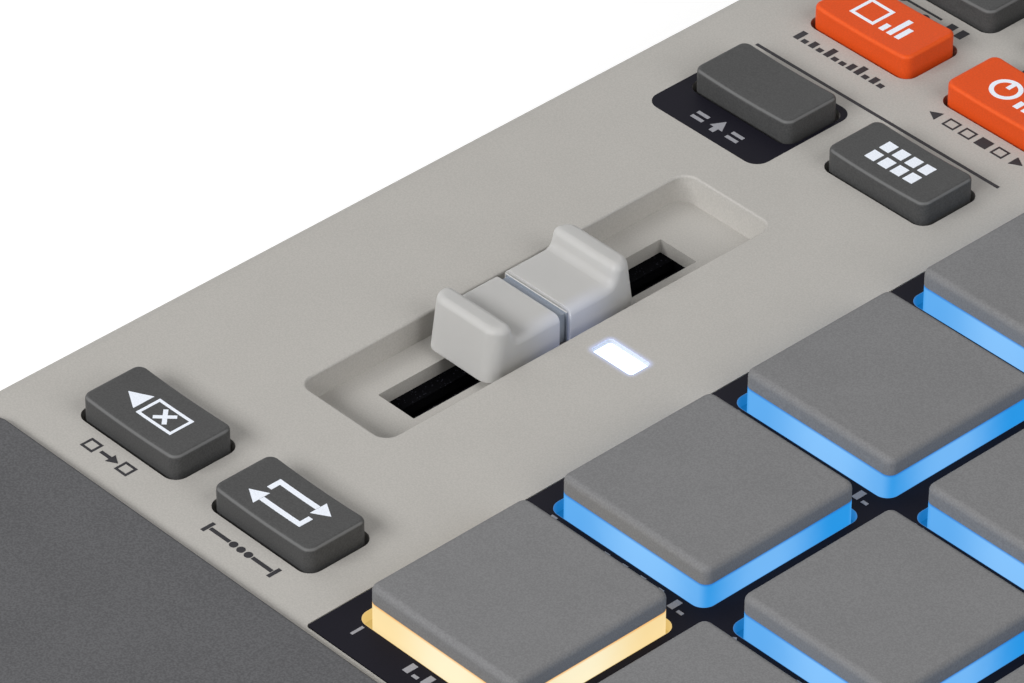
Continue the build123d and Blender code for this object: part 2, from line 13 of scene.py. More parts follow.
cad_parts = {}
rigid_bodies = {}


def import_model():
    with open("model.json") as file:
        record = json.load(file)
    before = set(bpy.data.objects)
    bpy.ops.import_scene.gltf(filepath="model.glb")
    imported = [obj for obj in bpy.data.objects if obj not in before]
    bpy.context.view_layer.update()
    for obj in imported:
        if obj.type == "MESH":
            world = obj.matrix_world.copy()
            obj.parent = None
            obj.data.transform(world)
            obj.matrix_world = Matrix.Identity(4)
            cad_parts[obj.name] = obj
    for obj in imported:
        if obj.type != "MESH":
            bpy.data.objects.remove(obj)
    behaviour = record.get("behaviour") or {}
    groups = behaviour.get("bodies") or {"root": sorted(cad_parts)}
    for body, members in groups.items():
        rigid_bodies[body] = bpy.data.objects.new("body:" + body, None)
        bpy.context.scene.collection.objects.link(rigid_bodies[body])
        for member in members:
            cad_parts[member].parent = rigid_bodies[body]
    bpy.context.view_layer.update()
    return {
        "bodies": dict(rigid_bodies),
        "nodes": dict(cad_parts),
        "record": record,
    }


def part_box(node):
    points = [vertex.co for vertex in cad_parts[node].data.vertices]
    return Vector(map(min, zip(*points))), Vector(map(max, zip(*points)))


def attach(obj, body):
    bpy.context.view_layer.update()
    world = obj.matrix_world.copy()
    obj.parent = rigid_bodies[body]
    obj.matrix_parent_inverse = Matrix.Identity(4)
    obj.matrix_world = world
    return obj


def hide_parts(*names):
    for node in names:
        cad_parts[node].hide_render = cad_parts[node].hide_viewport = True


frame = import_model()

bl_info = {
    "name": "Pad Sampler",
    "version": (1, 0, 0),
    "blender": (4, 5, 0),
    "location": "3D View > Sidebar > Sampler",
    "description": "Lit pads, push buttons, fader, knobs and display of a compact sampler",
    "category": "Object",
}

MM = 0.001
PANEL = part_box("pad_bezel")[1].z
PADS = [name for name in frame["bodies"] if name.startswith("pad_") and name[-1].isdigit()]
BUTTONS = [name for name in frame["bodies"] if name.endswith("_button")]
KNOBS = [name for name in frame["bodies"] if name.startswith("tone_knob")]
CAP_HEIGHT = 2.4 * MM
CAP_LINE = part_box(PADS[0])[1].z - CAP_HEIGHT
BLACK = (0.0, 0.0, 0.0)


# Settings


def tone(red, green, blue):
    """Linear colour of a display colour given in steps of 255."""
    steps = (red / 255, green / 255, blue / 255)
    return tuple(step / 12.92 if step < 0.04045 else ((step + 0.055) / 1.055) ** 2.4 for step in steps)


def paint(name, description, *steps):
    """A colour that the user can change."""
    return FloatVectorProperty(
        name=name, description=description, subtype="COLOR", size=3, min=0.0, max=1.0, default=tone(*steps)
    )


def length(name, description, millimetres):
    """A length that the user can change."""
    return FloatProperty(
        name=name, description=description, unit="LENGTH", precision=5, default=millimetres * MM
    )


def angle(name, description, degrees):
    """An angle that the user can change."""
    return FloatProperty(name=name, description=description, subtype="ANGLE", default=math.radians(degrees))


def power(name, description, watts):
    """The power of a light that the user can change."""
    return FloatProperty(name=name, description=description, unit="POWER", default=watts)


class SamplerColours(PropertyGroup):
    """Colours of the sampler's finishes."""

    panel: paint("Panel", "Light upper shell", 176, 173, 168)
    tray: paint("Tray", "Dark lower shell", 66, 66, 68)
    rest: paint("Palm rest", "Soft plate along the front", 91, 91, 93)
    bezel: paint("Bezel", "Navy plate around the pads and navy print", 22, 21, 29)
    pad: paint("Pad", "Grey silicone of the pads", 120, 120, 121)
    glow: paint("Glow", "Light in the middle of a pad's skirt", 136, 198, 254)
    glow_deep: paint("Deep glow", "Light at the corners and sides of a pad's skirt", 42, 152, 230)
    glow_edge: paint("Glow edge", "Light just under a pad's cap", 40, 118, 205)
    warm: paint("Warm glow", "Light in the skirt of the first pad", 255, 244, 208)
    warm_deep: paint("Deep warm glow", "Light at the corners of the first pad's skirt", 250, 222, 162)
    warm_edge: paint("Warm edge", "Light just under the first pad's cap", 246, 178, 96)
    # Painted light: glow painted on the walls of the pad openings, and as shade on each pad's flange at the
    # bottom of its gap.
    glow_wall: paint("Glow on walls", "Light on the walls of the pad openings", 18, 106, 174)
    warm_wall: paint("Warm glow on walls", "Light on the walls of the first opening", 212, 177, 102)
    key: paint("Button", "Dark push buttons and knobs", 72, 72, 72)
    accent: paint("Accent", "Orange push buttons", 218, 80, 30)
    cap: paint("Fader cap", "Milky fader cap", 181, 180, 178)
    pointer: paint("Pointer", "Band across the fader cap", 138, 145, 156)
    felt: paint("Felt", "Strip that closes the slot", 6, 6, 8)
    ink_light: paint("Light ink", "Signs on the buttons", 226, 231, 240)
    ink_dark: paint("Dark ink", "Signs and lines on the panel", 38, 37, 41)
    ink_grey: paint("Grey ink", "Numbers and signs on the bezel", 150, 150, 156)
    lamp: paint("Lamp", "Lit window beside the fader", 190, 214, 255)
    # Painted light: colour of the lamp's glow painted on the panel round its window.
    lamp_halo: paint("Lamp halo", "Glow on the panel beside the lit window", 92, 110, 160)
    screen: paint("Screen", "Picture on the display", 110, 190, 240)
    metal: paint("Metal", "Plated metal pieces", 190, 190, 192)
    socket: paint("Socket", "Black sockets at the rear", 28, 28, 29)
    foot: paint("Foot", "Rubber feet", 34, 34, 35)
    board: paint("Board", "Solder mask of the boards", 28, 92, 62)
    switch: paint("Switch", "Key switches and turning controls", 30, 30, 32)
    battery: paint("Battery", "Wrap of the battery pack", 52, 56, 66)
    guide: paint("Light guide", "Clear plate under the pads", 150, 195, 235)


class SamplerSizes(PropertyGroup):
    """Sizes of the sampler's details."""

    grain: length("Grain", "Spacing of the moulded grain", 0.22)
    ink: length("Ink", "Thickness of the printed signs", 0.04)
    pad_width: length("Pad width", "Side of a pad above the bezel", 24.4)
    pad_corner: length("Pad corner", "Radius of a pad's upright edges", 1.2)
    pad_edge: length("Pad edge", "Radius round the top of a pad", 0.9)
    pad_flange: length("Pad flange", "Thickness of the flange under the bezel", 1.0)
    pad_overlap: length("Pad overlap", "Reach of the flange beyond the opening", 0.8)
    pad_set_back: length("Pad set-back", "How far a pad stands behind the middle of its opening", 0.35)
    opening_corner: length("Opening corner", "Radius of the corners of a pad's opening", 1.8)
    liner: length("Liner", "Thickness of the pale walls of a pad's opening", 0.06)
    liner_gap: length("Liner gap", "Clearance round the pale walls of a pad's opening", 0.015)
    flange_corner: length("Flange corner", "Radius of the upright edges of a pad's flange", 1.8)
    key_margin: length("Button margin", "Reach of a button's flange beyond its body", 1.2)
    key_flange: length("Button flange", "Thickness of a button's flange", 1.6)
    key_corner: length("Button corner", "Radius of a button's upright edges", 1.3)
    key_edge: length("Button edge", "Radius round the top of a button", 0.55)
    key_dish: length("Button dish", "Depth of the hollow along the top of a button", 0.27)
    lamp_flange: length("Lamp flange", "Reach of the lamp's flange beyond its window", 1.2)
    lamp_reach: length("Lamp reach", "How far the lamp's glow spreads over the panel", 1.0)
    lip: length("Pointer lip", "Thickness of the lip along the fader's pointer", 0.14)
    lip_rise: length("Lip rise", "How far the lip stands out of the fader's pointer", 0.32)
    lip_gap: length("Lip gap", "Clearance between the lip and the wall of its groove", 0.12)
    # Painted highlight: height of the paler strip along the top of the lip.
    lip_line: length("Lip line", "Height of the bright line along the lip", 0.09)
    lip_corner: length("Lip corner", "Radius of the lip's upright edges", 0.03)
    lip_edge: length("Lip edge", "Radius round the top of the lip", 0.04)
    grip_foot: length("Grip foot", "Height of a knob's ribs above the panel", 1.6)
    grip_top: length("Grip top", "Distance of a knob's ribs below its top", 2.0)
    grip_taper: length("Grip taper", "How far a knob's ribs lean inwards", 0.5)
    grip_inset: length("Grip inset", "How far a knob's ribs start inside its foot's rim", 0.08)
    rib_height: length("Rib", "Height of the ribs round a knob", 0.28)
    rib_count: IntProperty(name="Ribs", description="Ribs round a knob", default=30, min=8)
    inlay_width: length("Inlay width", "Width of the pointer on a knob", 0.9)
    inlay_margin: length("Inlay margin", "Distance of the pointer from a knob's rim", 1.4)
    inlay_start: length("Inlay start", "Distance of the pointer from a knob's middle", 0.3)
    inlay_floor: length("Inlay floor", "Depth of the pointer's underside below a knob's top", 0.38)
    inlay_face: length("Inlay face", "Depth of the pointer's face below a knob's top", 0.05)
    inlay_corner: length("Inlay corner", "Radius of the pointer's upright edges", 0.2)
    inlay_edge: length("Inlay edge", "Radius round the pointer's face", 0.08)
    screen_margin: length("Screen margin", "Width of the display's black border", 4.5)
    ring_outer: length("Ring outside", "Outer radius of the rings round the sockets", 5.6)
    ring_inner: length("Ring inside", "Inner radius of the rings round the sockets", 3.3)
    ring_thickness: length("Ring thickness", "Thickness of the rings round the sockets", 0.6)
    ring_seat: length("Ring seat", "How far the rings round the sockets are let in", 0.02)
    foot_radius: length("Foot", "Radius of the rubber feet", 6.85)
    foot_taper: length("Foot taper", "How much narrower a foot is at its sole", 0.2)
    foot_edge: length("Foot edge", "Radius round a foot's sole", 0.5)
    foot_rim: length("Foot rim", "Width of the flat rim of a foot's sole", 1.4)
    foot_slope: length("Foot slope", "Width of the slope inside a foot's rim", 0.5)
    foot_hollow: length("Foot hollow", "Depth of the hollow in a foot's sole", 0.4)
    sign_gap: length("Sign gap", "Distance of a sign in front of its button's flange", 1.75)
    number_height: length("Number height", "Height of the pad numbers", 1.75)
    number_inset: length("Number inset", "Distance of a pad number from its opening's left side", 1.9)
    row_inset: length("Row inset", "Distance of a pad's row of bars from its opening's left side", 11.0)
    label_gap: length("Label gap", "Distance of numbers and bars in front of their opening", 1.45)
    tick_radius: length("Scale radius", "Radius of the scales round the knobs", 10.0)
    tick_width: length("Tick width", "Width of the scales' ticks", 0.35)
    tick_length: length("Tick length", "Length of the scales' ticks", 1.3)
    line_length: length("Line length", "Length of the line between the button groups", 42.9)
    line_width: length("Line width", "Width of the line between the button groups", 0.5)


class SamplerStage(PropertyGroup):
    """Camera and light."""

    place: FloatVectorProperty(
        name="Camera place", description="Where the camera stands", subtype="TRANSLATION", unit="LENGTH",
        default=(0.4142, -0.4668, 0.5263),
    )
    heading: angle("Heading", "Turn of the camera about the upright axis", 46.91)
    pitch: angle("Pitch", "Tilt of the camera below the horizon", -36.88)
    roll: angle("Roll", "Turn of the camera about its own line of sight", 0.353)
    lens: FloatProperty(name="Lens", description="Focal length in millimetres", default=236.4)
    front_power: power("Front light", "Power of the soft front light", 21.0)
    right_power: power("Right light", "Power of the soft right light", 11.2)
    left_power: power("Left light", "Power of the soft left light", 3.2)
    fill: FloatProperty(name="Fill", description="Strength of the even light all round", default=0.165)
    distance: length("Light distance", "Distance of the soft lights from the middle of the floor", 1500.0)
    floor: length("Floor", "Half the side of the floor", 4000.0)


def settings(context):
    """The colours and the sizes that are set."""
    return context.scene.sampler_colours, context.scene.sampler_sizes


# Finishes


class Field:
    """A shader value that takes part in plain arithmetic."""

    def __init__(self, finish, socket):
        self.finish = finish
        self.socket = socket

    def __add__(self, other):
        return self.finish.maths("ADD", self, other)

    def __sub__(self, other):
        return self.finish.maths("SUBTRACT", self, other)

    def __rsub__(self, other):
        return self.finish.maths("SUBTRACT", other, self)

    def __mul__(self, other):
        return self.finish.maths("MULTIPLY", self, other)

    def __truediv__(self, other):
        return self.finish.maths("DIVIDE", self, other)

    def __mod__(self, other):
        return self.finish.maths("FLOORED_MODULO", self, other)

    def __abs__(self):
        return self.finish.maths("ABSOLUTE", self)

    def __lt__(self, other):
        return self.finish.maths("LESS_THAN", self, other)

    def __gt__(self, other):
        return self.finish.maths("GREATER_THAN", self, other)

    __radd__ = __add__
    __rmul__ = __mul__


class Shading:
    """A node tree that is built from values and links."""

    def __init__(self, owner):
        owner.use_nodes = True
        self.owner = owner
        self.tree = owner.node_tree

    def feed(self, socket, value):
        """Link a field to a socket, or set the socket to a plain value."""
        if isinstance(value, Field):
            self.tree.links.new(value.socket, socket)
        elif socket.type == "RGBA":
            socket.default_value = (*value[:3], 1.0)
        else:
            socket.default_value = value

    def node(self, kind, options, inputs, output=0):
        """Add a node: its settings first, then the values or links of its sockets."""
        added = self.tree.nodes.new(kind)
        for key, value in options.items():
            setattr(added, key, value)
        for key, value in inputs.items():
            self.feed(added.inputs[key], value)
        return Field(self, added.outputs[output])

    def maths(self, operation, *values):
        return self.node("ShaderNodeMath", {"operation": operation}, dict(enumerate(values)))

    def place(self):
        """The point on the piece, in the frame of the whole object."""
        return self.node("ShaderNodeTexCoord", {}, {}, "Object")

    def axes(self, names, vector=None):
        """The named parts of a vector, or else of the point's place."""
        source = {"Vector": vector or self.place()}
        return [self.node("ShaderNodeSeparateXYZ", {}, source, axis) for axis in names]

    def noise(self, spacing, detail=2.0, stretch=(1.0, 1.0, 1.0)):
        """Soft noise with the given spacing, drawn out along an axis by a small stretch there."""
        point = self.node("ShaderNodeMapping", {}, {"Vector": self.place(), "Scale": stretch})
        return self.node("ShaderNodeTexNoise", {}, {"Vector": point, "Scale": 1 / spacing, "Detail": detail})

    def ease(self, value, low, high):
        """Smooth step from 0 at low to 1 at high."""
        limits = {"Value": value, "From Min": low, "From Max": high}
        return self.node("ShaderNodeMapRange", {"interpolation_type": "SMOOTHSTEP"}, limits)

    def rim(self):
        """1 on rounded upper edges that lean to the front or to the right, where a highlight is painted."""
        x, y, z = self.axes("XYZ", self.node("ShaderNodeNewGeometry", {}, {}, "Normal"))
        return self.ease(z, 0.25, 0.6) * self.ease(z, 0.97, 0.8) * self.ease(x - y, 0.1, 0.5)

    def beyond(self, node, margin, corner=0.5 * MM):
        """Distance in plan outside a node's rounded box less a margin, below 0 inside it."""
        low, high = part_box(node)
        x, y = self.axes("XY")
        gap_x = abs(x - (high.x + low.x) / 2) - ((high.x - low.x) / 2 - margin - corner)
        gap_y = abs(y - (high.y + low.y) / 2) - ((high.y - low.y) / 2 - margin - corner)
        past_x, past_y = [self.maths("MAXIMUM", gap, 0.0) for gap in (gap_x, gap_y)]
        return self.maths("SQRT", past_x * past_x + past_y * past_y) - corner

    def mix(self, share, first, second):
        """Colour between two colours."""
        return self.node("ShaderNodeMix", {"data_type": "RGBA"}, {0: share, 6: first, 7: second}, 2)

    def relief(self, height, depth):
        """Surface normal of a height field."""
        return self.node("ShaderNodeBump", {}, {"Height": height, "Distance": depth, "Strength": 1.0})

    def seen(self):
        """1 where the surroundings show: straight to the camera, in gloss and through glass."""
        kinds = ("Camera", "Glossy", "Transmission")
        rays = [self.node("ShaderNodeLightPath", {}, {}, f"Is {kind} Ray") for kind in kinds]
        return self.maths("MAXIMUM", rays[0], self.maths("MAXIMUM", rays[1], rays[2]))

    def close(self, shader, **inputs):
        """Feed the closing shader and give back the material or world."""
        for key, value in inputs.items():
            self.feed(self.tree.nodes[shader].inputs[key.replace("_", " ")], value)
        return self.owner

    def surface(self, **inputs):
        return self.close("Principled BSDF", **inputs)


def shade(colour, factor):
    """A colour made darker or lighter."""
    return tuple(min(1.0, part * factor) for part in colour[:3])


def made(name, recipe, *values):
    """The finish of that name, from its recipe the first time."""
    title = name + "_finish"
    return bpy.data.materials.get(title) or recipe(Shading(bpy.data.materials.new(title)), *values)


class Mould(NamedTuple):
    """Feel of a moulded surface: its grain's depth, its roughness, unevenness, gloss and a painted highlight
    on its front and right upper edges.
    """

    depth: float
    rough: float
    mottle: float
    gloss: float = 0.2
    wear: float = 0.0


MOULDS = {
    "light_shell": Mould(0.012 * MM, rough=0.6, mottle=0.07, gloss=0.25),
    "dark_shell": Mould(0.03 * MM, rough=0.6, mottle=0.08),
    "rest_soft": Mould(0.03 * MM, rough=0.7, mottle=0.2, gloss=0.12),
    "bezel_navy": Mould(0.01 * MM, rough=0.5, mottle=0.1, gloss=0.06),
    "pad_silicone": Mould(0.014 * MM, rough=0.75, mottle=0.12, gloss=0.15),
    "dark_keys": Mould(0.014 * MM, rough=0.42, mottle=0.16, gloss=0.13, wear=0.8),
    "orange_keys": Mould(0.014 * MM, rough=0.42, mottle=0.06, gloss=0.13, wear=0.15),
    "pointer_band": Mould(0.004 * MM, rough=0.35, mottle=0.04),
    # Painted highlight along the top of the fader's lip.
    "painted_lip_highlight": Mould(0.002 * MM, rough=0.3, mottle=0.02, gloss=0.4),
    "slide_dark": Mould(0.004 * MM, rough=0.8, mottle=0.05, gloss=0.05),
    "knob_dark": Mould(0.012 * MM, rough=0.55, mottle=0.05),
    "knob_rubber": Mould(0.02 * MM, rough=0.75, mottle=0.05),
    "socket_black": Mould(0.01 * MM, rough=0.45, mottle=0.05),
    "foot_rubber": Mould(0.02 * MM, rough=0.85, mottle=0.06),
    "switch_black": Mould(0.01 * MM, rough=0.5, mottle=0.05),
    "battery_wrap": Mould(0.005 * MM, rough=0.35, mottle=0.04),
}


def moulding(name, colour, grain):
    """The moulded finish of that name."""
    return made(name, moulded, colour, grain, MOULDS[name])


def moulded(finish, colour, grain, mould):
    """Matt moulded plastic or rubber with a fine grain, a faint uneven tone and a highlight painted on its
    front and right upper edges.
    """
    speck = finish.noise(grain)
    cloud = finish.noise(40 * grain, 3.0)
    share = speck * 0.82 + cloud * 0.18
    dark, pale = shade(colour, 1 - mould.mottle), shade(colour, 1 + mould.mottle)
    tint = finish.mix(finish.ease(share, 0.3, 0.7), dark, pale)
    # Painted highlight: upper edges that lean to the front or right are lightened as if they caught the
    # lamps.
    if mould.wear:
        tint = finish.mix(mould.wear * finish.rim(), tint, shade(colour, 2.2))
    return finish.surface(
        Base_Color=tint,
        Roughness=mould.rough + 0.16 * (speck - 0.5),
        Normal=finish.relief(speck, mould.depth),
        Specular_IOR_Level=mould.gloss,
    )


def lit_skirt(finish, bright, deep, edge, wall, front, sides):
    """Milky silicone lit from below: palest near the middle of each face, deeper at ends and sides, with
    shade painted where it sits below the bezel.
    """
    low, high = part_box(PADS[0])
    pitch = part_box(PADS[1])[0].x - low.x
    half = bpy.context.scene.sampler_sizes.pad_width / 2
    x, y, z = finish.axes("XYZ")
    across = (x - (low.x + high.x - pitch) / 2) % pitch - pitch / 2
    along = (y - (low.y + high.y - pitch) / 2) % pitch - pitch / 2
    side = finish.ease(abs(across) - abs(along), -1.0 * MM, 1.0 * MM)
    shift = 2.0 * MM
    from_middle = abs(across - shift) * (1 - side) + abs(along + shift) * side
    uneven = finish.noise(3 * MM) - 0.5
    fall = finish.ease(from_middle / half + 0.12 * uneven, 0.1, 0.92)
    # Partly painted shade: side faces glow deeper than front faces, standing in for room light that reaches
    # the fronts more; the fall towards the ends is the pad's own light.
    depth = fall * (front + (1 - front - sides) * side) + sides * side
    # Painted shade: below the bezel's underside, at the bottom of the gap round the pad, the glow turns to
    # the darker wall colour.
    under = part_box("pad_bezel")[0].z
    glow_shaded_in_gap = finish.mix(finish.ease(z, under, under - 0.15 * MM), finish.mix(depth, bright, deep), wall)
    brow = finish.ease(z, CAP_LINE - 0.45 * MM, CAP_LINE + 0.1 * MM)
    return finish.surface(
        Base_Color=shade(deep, 0.05),
        Roughness=0.55 + 0.1 * uneven,
        Emission_Color=finish.mix(brow, glow_shaded_in_gap, edge),
        Emission_Strength=0.95,
        Normal=finish.relief(finish.noise(0.3 * MM), 0.01 * MM),
        Specular_IOR_Level=0.2,
    )


def lit_wall(finish, colour):
    """Pale wall of an opening, with the light of the pad beside it painted on as a glow of its own."""
    cloud = finish.noise(1.5 * MM)
    return finish.surface(
        Base_Color=finish.mix(cloud, (0.07, 0.07, 0.075), (0.09, 0.09, 0.095)),
        Roughness=0.5 + 0.1 * cloud,
        # Painted light: the wall glows in the colour of the pad beside it.
        Emission_Color=finish.mix(cloud, shade(colour, 0.95), shade(colour, 1.05)),
        Emission_Strength=1.0,
        Specular_IOR_Level=0.3,
    )


def lit_window(finish, colour):
    """Lit window, brighter than the picture can show."""
    cloud = finish.noise(0.5 * MM)
    return finish.surface(
        Base_Color=shade(colour, 0.3),
        Roughness=0.3 + 0.1 * cloud,
        Emission_Color=finish.mix(cloud, shade(colour, 0.96), colour),
        Emission_Strength=3.2,
    )


def lamplit(finish, colour, grain, mould, lamp, glow):
    """Moulded plastic with the glow of a lit window painted on the face round it as emission."""
    size = bpy.context.scene.sampler_sizes
    moulded(finish, colour, grain, mould)
    (z,) = finish.axes("Z")
    # Painted light: the lamp's glow on the panel round its window, fading with distance from it.
    near = finish.ease(finish.beyond(lamp, size.lamp_flange), size.lamp_reach, 0.0)
    share = near * near * finish.ease(z, PANEL - 0.2 * MM, PANEL - 0.02 * MM)
    return finish.surface(Emission_Color=finish.mix(share, BLACK, glow), Emission_Strength=1.0)


def felted(finish, colour):
    """Black felt with a few pale specks."""
    fibre = finish.noise(0.12 * MM, 3.0)
    speck = finish.ease(finish.noise(0.3 * MM, 1.0), 0.66, 0.74)
    return finish.surface(
        Base_Color=finish.mix(speck, colour, shade(colour, 14.0)),
        Roughness=0.95 - 0.1 * fibre,
        Normal=finish.relief(fibre, 0.05 * MM),
        Specular_IOR_Level=0.03,
    )


def milky(finish, colour, grain, node, lamp):
    """Milky satin plastic that lets light into its edges, with the blue light of a lamp painted on its near
    side.
    """
    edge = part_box(node)[1].x
    beam = sum(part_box(lamp), Vector()) / 2
    x, y = finish.axes("XY")
    speck = finish.noise(grain)
    cloud = finish.noise(6 * MM)
    tint = finish.mix(cloud, shade(colour, 0.97), shade(colour, 1.02))
    # Painted light: a faint blue glow on the side nearest the lamp, fading along the cap.
    spill = finish.ease(x, edge - 2.6 * MM, edge) * finish.ease(abs(y - beam.y), 9 * MM, 1.5 * MM)
    return finish.surface(
        Base_Color=tint,
        Roughness=0.45 + 0.1 * (speck - 0.5),
        Normal=finish.relief(speck, 0.006 * MM),
        Emission_Color=finish.mix(spill, BLACK, (0.05, 0.065, 0.12)),
        Emission_Strength=1.0,
        Subsurface_Weight=0.6,
        Subsurface_Radius=(1.0, 1.0, 1.0),
        Subsurface_Scale=1.6 * MM,
        Specular_IOR_Level=0.3,
    )


def plated(finish, colour, rough):
    """Plated metal with fine brushing."""
    brushed = finish.noise(0.25 * MM, 3.0, (0.06, 1.0, 1.0))
    return finish.surface(
        Base_Color=finish.mix(brushed, shade(colour, 0.85), shade(colour, 1.05)),
        Metallic=1.0,
        Roughness=rough + 0.2 * (brushed - 0.5),
        Normal=finish.relief(brushed, 0.006 * MM),
    )


def inked(finish, colour):
    """Printed ink with a faintly uneven cover."""
    cover = finish.noise(0.18 * MM)
    return finish.surface(
        Base_Color=finish.mix(finish.ease(cover, 0.35, 0.6), shade(colour, 0.9), colour),
        Roughness=0.5 + 0.2 * cover,
        Specular_IOR_Level=0.3,
    )


def backlit_ink(finish, colour):
    """Light ink that glows a little, as a sign lit from inside its button."""
    cover = finish.noise(0.18 * MM)
    tint = finish.mix(finish.ease(cover, 0.35, 0.6), shade(colour, 0.92), colour)
    return finish.surface(
        Base_Color=tint, Roughness=0.5 + 0.2 * cover, Emission_Color=tint, Emission_Strength=0.12
    )


def circuit(finish, colour):
    """Solder mask over a faint net of tracks."""
    spread = {"distance": "MANHATTAN", "feature": "F2"}
    cell = finish.node("ShaderNodeTexVoronoi", spread, {"Vector": finish.place(), "Scale": 350.0})
    track = finish.ease(cell, 0.75, 0.8)
    return finish.surface(
        Base_Color=finish.mix(track, colour, shade(colour, 1.9)),
        Roughness=0.35 + 0.1 * finish.noise(0.4 * MM),
        Normal=finish.relief(track, 0.03 * MM),
    )


def tinted_plate(finish, colour):
    """Clear moulding with light running through it."""
    cloud = finish.noise(5 * MM)
    return finish.surface(
        Base_Color=finish.mix(cloud, shade(colour, 0.8), colour),
        Roughness=0.2 + 0.1 * cloud,
        Emission_Color=finish.mix(cloud, shade(colour, 0.2), shade(colour, 0.35)),
        Emission_Strength=1.0,
    )


def tinted_glass(finish, node, margin):
    """Smoked cover: clear over the screen, black round its border."""
    clear = finish.beyond(node, margin) < 0.0
    return finish.surface(
        Base_Color=(0.008, 0.008, 0.01),
        Roughness=0.06 + 0.03 * finish.noise(8 * MM),
        Alpha=1.0 - 0.88 * clear,
        Specular_IOR_Level=0.5,
    )


def screen_picture(finish, colour, node):
    """Picture on the display: a sound wave in columns above a row of steps."""
    low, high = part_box(node)
    x, y = finish.axes("XY")
    margin = 3 * MM
    column, stripe = 1.1 * MM, 0.7 * MM
    step, block = 3.1 * MM, 2.4 * MM
    crest, hush = 9.0 * MM, 0.4 * MM
    along = x - low.x
    cell = finish.maths("FLOOR", along / column)
    swell = abs(finish.maths("SINE", cell * 0.21)) * 0.6 + 0.4 * abs(finish.maths("SINE", cell * 1.7))
    reach = crest * swell * finish.ease(along, margin, 4 * margin) + hush
    wave_line = (low.y + high.y) / 2 + 4 * MM
    wave = (abs(y - wave_line) < reach) * ((along % column) < stripe)
    inner = (along > margin) * (along < high.x - low.x - margin)
    row = (abs(y - low.y - 6 * MM) < 1.1 * MM) * ((along % step) < block)
    beat = finish.maths("FLOOR", along / step) % 4.0 < 0.5
    line = abs(y - low.y - 10 * MM) < 0.15 * MM
    steps = finish.maths("MAXIMUM", row * (0.35 + 0.65 * beat), line * 0.5)
    mark = inner * finish.maths("MAXIMUM", wave, steps)
    return finish.surface(
        Base_Color=(0.004, 0.006, 0.01),
        Roughness=0.25 + 0.05 * finish.noise(5 * MM),
        Emission_Color=finish.mix(mark, shade(colour, 0.02), colour),
        Emission_Strength=1.0,
    )


# Pieces


def stored(name, shape):
    """The mesh of a finished shape."""
    mesh = bpy.data.meshes.new(name)
    shape.to_mesh(mesh)
    shape.free()
    return mesh


def placed(name, data):
    """A new object in the scene."""
    obj = bpy.data.objects.new(name, data)
    bpy.context.scene.collection.objects.link(obj)
    return obj


def smooth_piece(name, shape, body, finishes, replaced=(), crease=40.0):
    """Turn a finished shape into a piece that rides on a body."""
    mesh = stored(name, shape)
    mesh.shade_smooth()
    mesh.set_sharp_from_angle(angle=math.radians(crease))
    for finish in finishes:
        mesh.materials.append(finish)
    obj = placed(name, mesh)
    obj.modifiers.new("Even shading", "WEIGHTED_NORMAL").keep_sharp = True
    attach(obj, body)
    if replaced:
        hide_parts(*replaced)
    return obj


def coat(finish, *nodes):
    """Give carried-over nodes their finish."""
    for node in nodes:
        materials = frame["nodes"][node].data.materials
        materials.clear()
        materials.append(finish)


def merged_copy(node):
    """The shape of a node with its loose triangles joined."""
    shape = bmesh.new()
    shape.from_mesh(frame["nodes"][node].data)
    bmesh.ops.remove_doubles(shape, verts=shape.verts, dist=0.5e-6)
    bmesh.ops.dissolve_limit(shape, angle_limit=math.radians(0.3), verts=shape.verts, edges=shape.edges)
    return shape


def face_height(face):
    """Height of the middle of a face."""
    return face.calc_center_median().z


def rounded_block(low, high, corner, edge):
    """Upright block with rounded uprights and a rounded top."""
    shape = bmesh.new()
    bmesh.ops.create_cube(shape, size=1.0)
    size = high - low
    bmesh.ops.scale(shape, vec=size, verts=shape.verts)
    bmesh.ops.translate(shape, vec=(low + high) / 2, verts=shape.verts)
    uprights = [side for side in shape.edges if abs(side.verts[0].co.z - side.verts[1].co.z) > size.z / 2]
    rounded(shape, uprights, corner, 8)
    lid = max(shape.faces, key=face_height)
    if edge:
        rounded(shape, list(lid.edges), edge, 5)
    return shape


def rounded(shape, edges, radius, segments):
    """Round the given edges."""
    bmesh.ops.bevel(
        shape, geom=edges, offset=radius, offset_type="OFFSET", affect="EDGES", segments=segments,
        profile=0.5, material=-1,
    )


def sleeve(low, high, corner, thickness):
    """Thin upright wall round an opening, just inside the given box."""
    shape = rounded_block(low, high, corner, 0.0)
    shape.normal_update()
    ends = [face for face in shape.faces if abs(face.normal.z) > 0.5]
    bmesh.ops.delete(shape, geom=ends, context="FACES")
    bmesh.ops.solidify(shape, geom=shape.faces[:], thickness=thickness)
    return shape


def split(shape, spot, normal):
    """Cut all the faces of a shape along a plane."""
    parts = shape.verts[:] + shape.edges[:] + shape.faces[:]
    bmesh.ops.bisect_plane(shape, geom=parts, plane_co=spot, plane_no=normal)


def dished(shape, node, depth, steps=16):
    """Hollow what stands on a button along the button's length: all its points sink, the middle ones most."""
    low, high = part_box(node)
    reach = (high.x - low.x) / 2 - bpy.context.scene.sampler_sizes.key_margin
    centre = (high.x + low.x) / 2
    for step in range(1, steps):
        split(shape, (centre - reach + 2 * reach * step / steps, 0, 0), (1, 0, 0))
    foot = PANEL - 3 * MM
    for vert in shape.verts:
        lift = min(1.0, max(0.0, (vert.co.z - foot) / (high.z - foot)))
        vert.co.z -= depth * lift * (1 - ((vert.co.x - centre) / reach) ** 2)


def joined(*shapes):
    """Several shapes as one."""
    whole = bmesh.new()
    for shape in shapes:
        store = stored("store", shape)
        whole.from_mesh(store)
        bpy.data.meshes.remove(store)
    return whole


